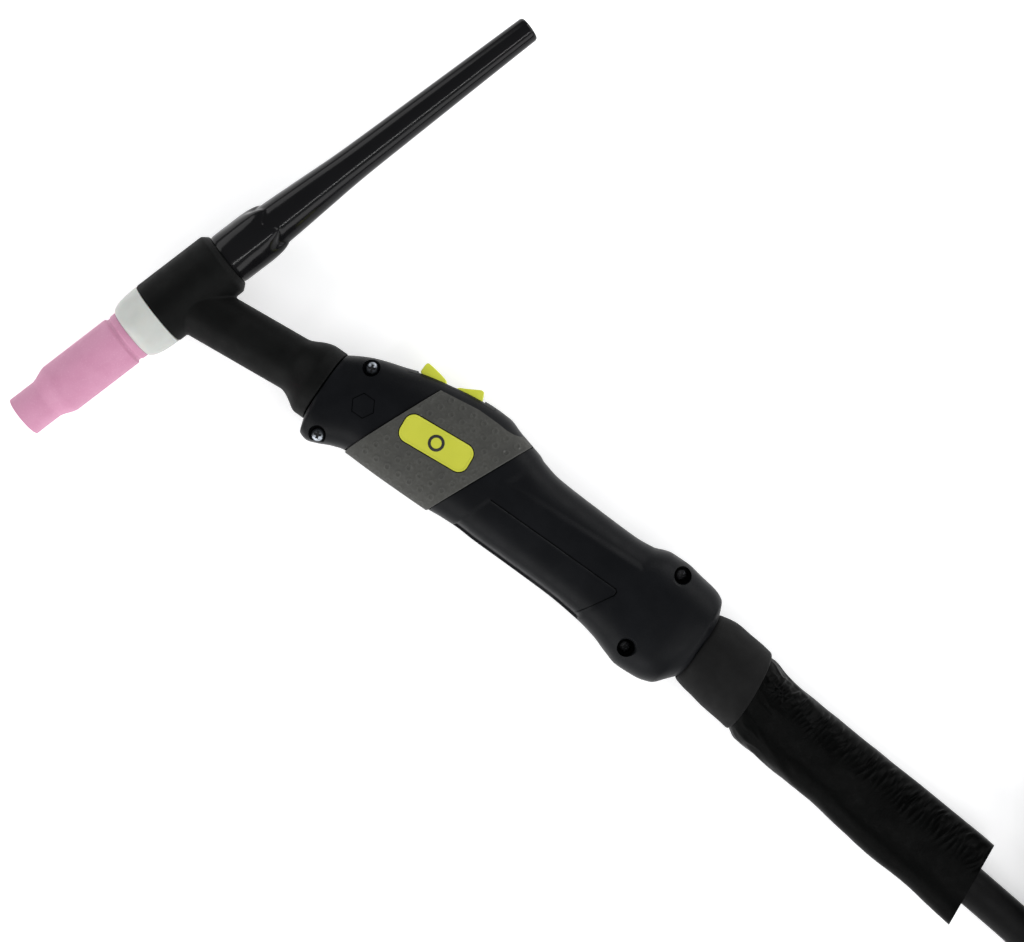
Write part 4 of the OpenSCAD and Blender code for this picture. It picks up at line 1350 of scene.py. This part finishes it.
def gas_parts():
    """A barbed brass spigot and its loose hexagon nut."""
    at = np.array([648.0, 104.0, -6.0])
    profile = [(1.8, -8.9), (3.95, -8.9), (4.15, -8.4)]
    profile += [(4.15 if i % 2 else 3.85, -7.6 + 0.55 * i) for i in range(12)]
    profile += [(3.9, -0.6), (4, 0), (4, 6.8), (4.3, 7.1), (5.7, 7.3), (5.9, 7.5), (5.9, 8.6), (5.6, 9),
                (3.5, 10.5), (3.2, 10.6), (1.8, 10.6)]
    fitting = place(lathe("gas_spigot", profile, "brass", SIDEWAYS, at, 64), "gas_fitting")
    start = at + (0, 3, 0)
    nut = lathe("gas_hex_nut", [(0, 0), (9.2, 0), (9.2, 15), (0, 15)], "brass", SIDEWAYS, start, 6)
    chamfer = [(0, 0), (8.1, 0), (8.6, 0.35), (9.3, 1.4), (9.3, 13.6), (8.6, 14.65), (8.1, 15), (0, 15)]
    combine(nut, lathe("chamfer", chamfer, None, SIDEWAYS, start, 96), "INTERSECT", 25)
    bore = [(0, 2.9), (6.9, 2.9), (6.9, 8.4)] + steps(8.6, 15.4, 0.16, 6.6) + [(7.3, 16), (0, 16)]
    cut(nut, lathe("bore", bore, None, SIDEWAYS, start, 80, thread(1.337, 0.5, 2.8, 15.3, 8.5, 15.4)), 25)
    cut(nut, rod(4.3, -1, 6, SIDEWAYS, start, 48), 25)
    return fitting, place(nut, "gas_nut")


def control_plug():
    """Plug shell with a ribbed neck, and its knurled coupling ring."""
    at = (668.0, -54.0, -6.3)
    profile = [(0, 0.05), (3.1, 0.05), (3.4, 0.3)] + ribbed_neck(5, 1.4, 2.0, 3.5, 0.17, 0.4, 0.25, 1.1)
    profile += [(4.5, 12), (5.6, 13.6), (6.3, 15), (6.4, 16.2), (6.4, 29.6), (6.1, 30), (5.4, 30),
                (5.4, 27), (0, 27)]
    shell = lathe("control_shell", rounded(profile, 0.2, 2), "switch_plastic", ALONG, at, 64)
    place(shell, "control_plug_shell")
    corners = rounded([(6.8, 19), (8.4, 19), (9, 19.8), (9, 21), (8.6, 21.4), (8.6, 22), (9, 22.4),
                       (9, 33.6), (8.6, 34), (8.6, 34.6), (9, 35), (9, 36.2), (8.4, 37), (6.8, 37)],
                      0.25, 2)
    dense = [corners[0]]
    for a, b in zip(corners, corners[1:]):
        if np.linalg.norm(b - a) > 4 and a[0] > 8:
            dense += [a + (b - a) * f for f in np.linspace(0, 1, 14)[1:-1]]
        dense.append(b)

    def knurl(angle, height):
        return 0.28 * (np.cos(40 * angle) - 1) * step_up(height, 22.4, 23) * (1 - step_up(height, 33, 33.6))
    ring = lathe("coupling_ring", dense, "steel", ALONG, at, 240, knurl)
    return shell, place(ring, "control_plug_ring")


gas_nozzle()
nozzle_seal()
collet_body()
insulator()
head_cover()
back_cap()
for half in (1, -1):
    handle_shell(half)
    grip_panel(half)
    badge(half)
screws()
switch_bezel()
rocker()
cable_boot()
inside_cable()
leather_sleeve()
coil_tie()
splitter()
power_plug()
gas_parts()
control_plug()
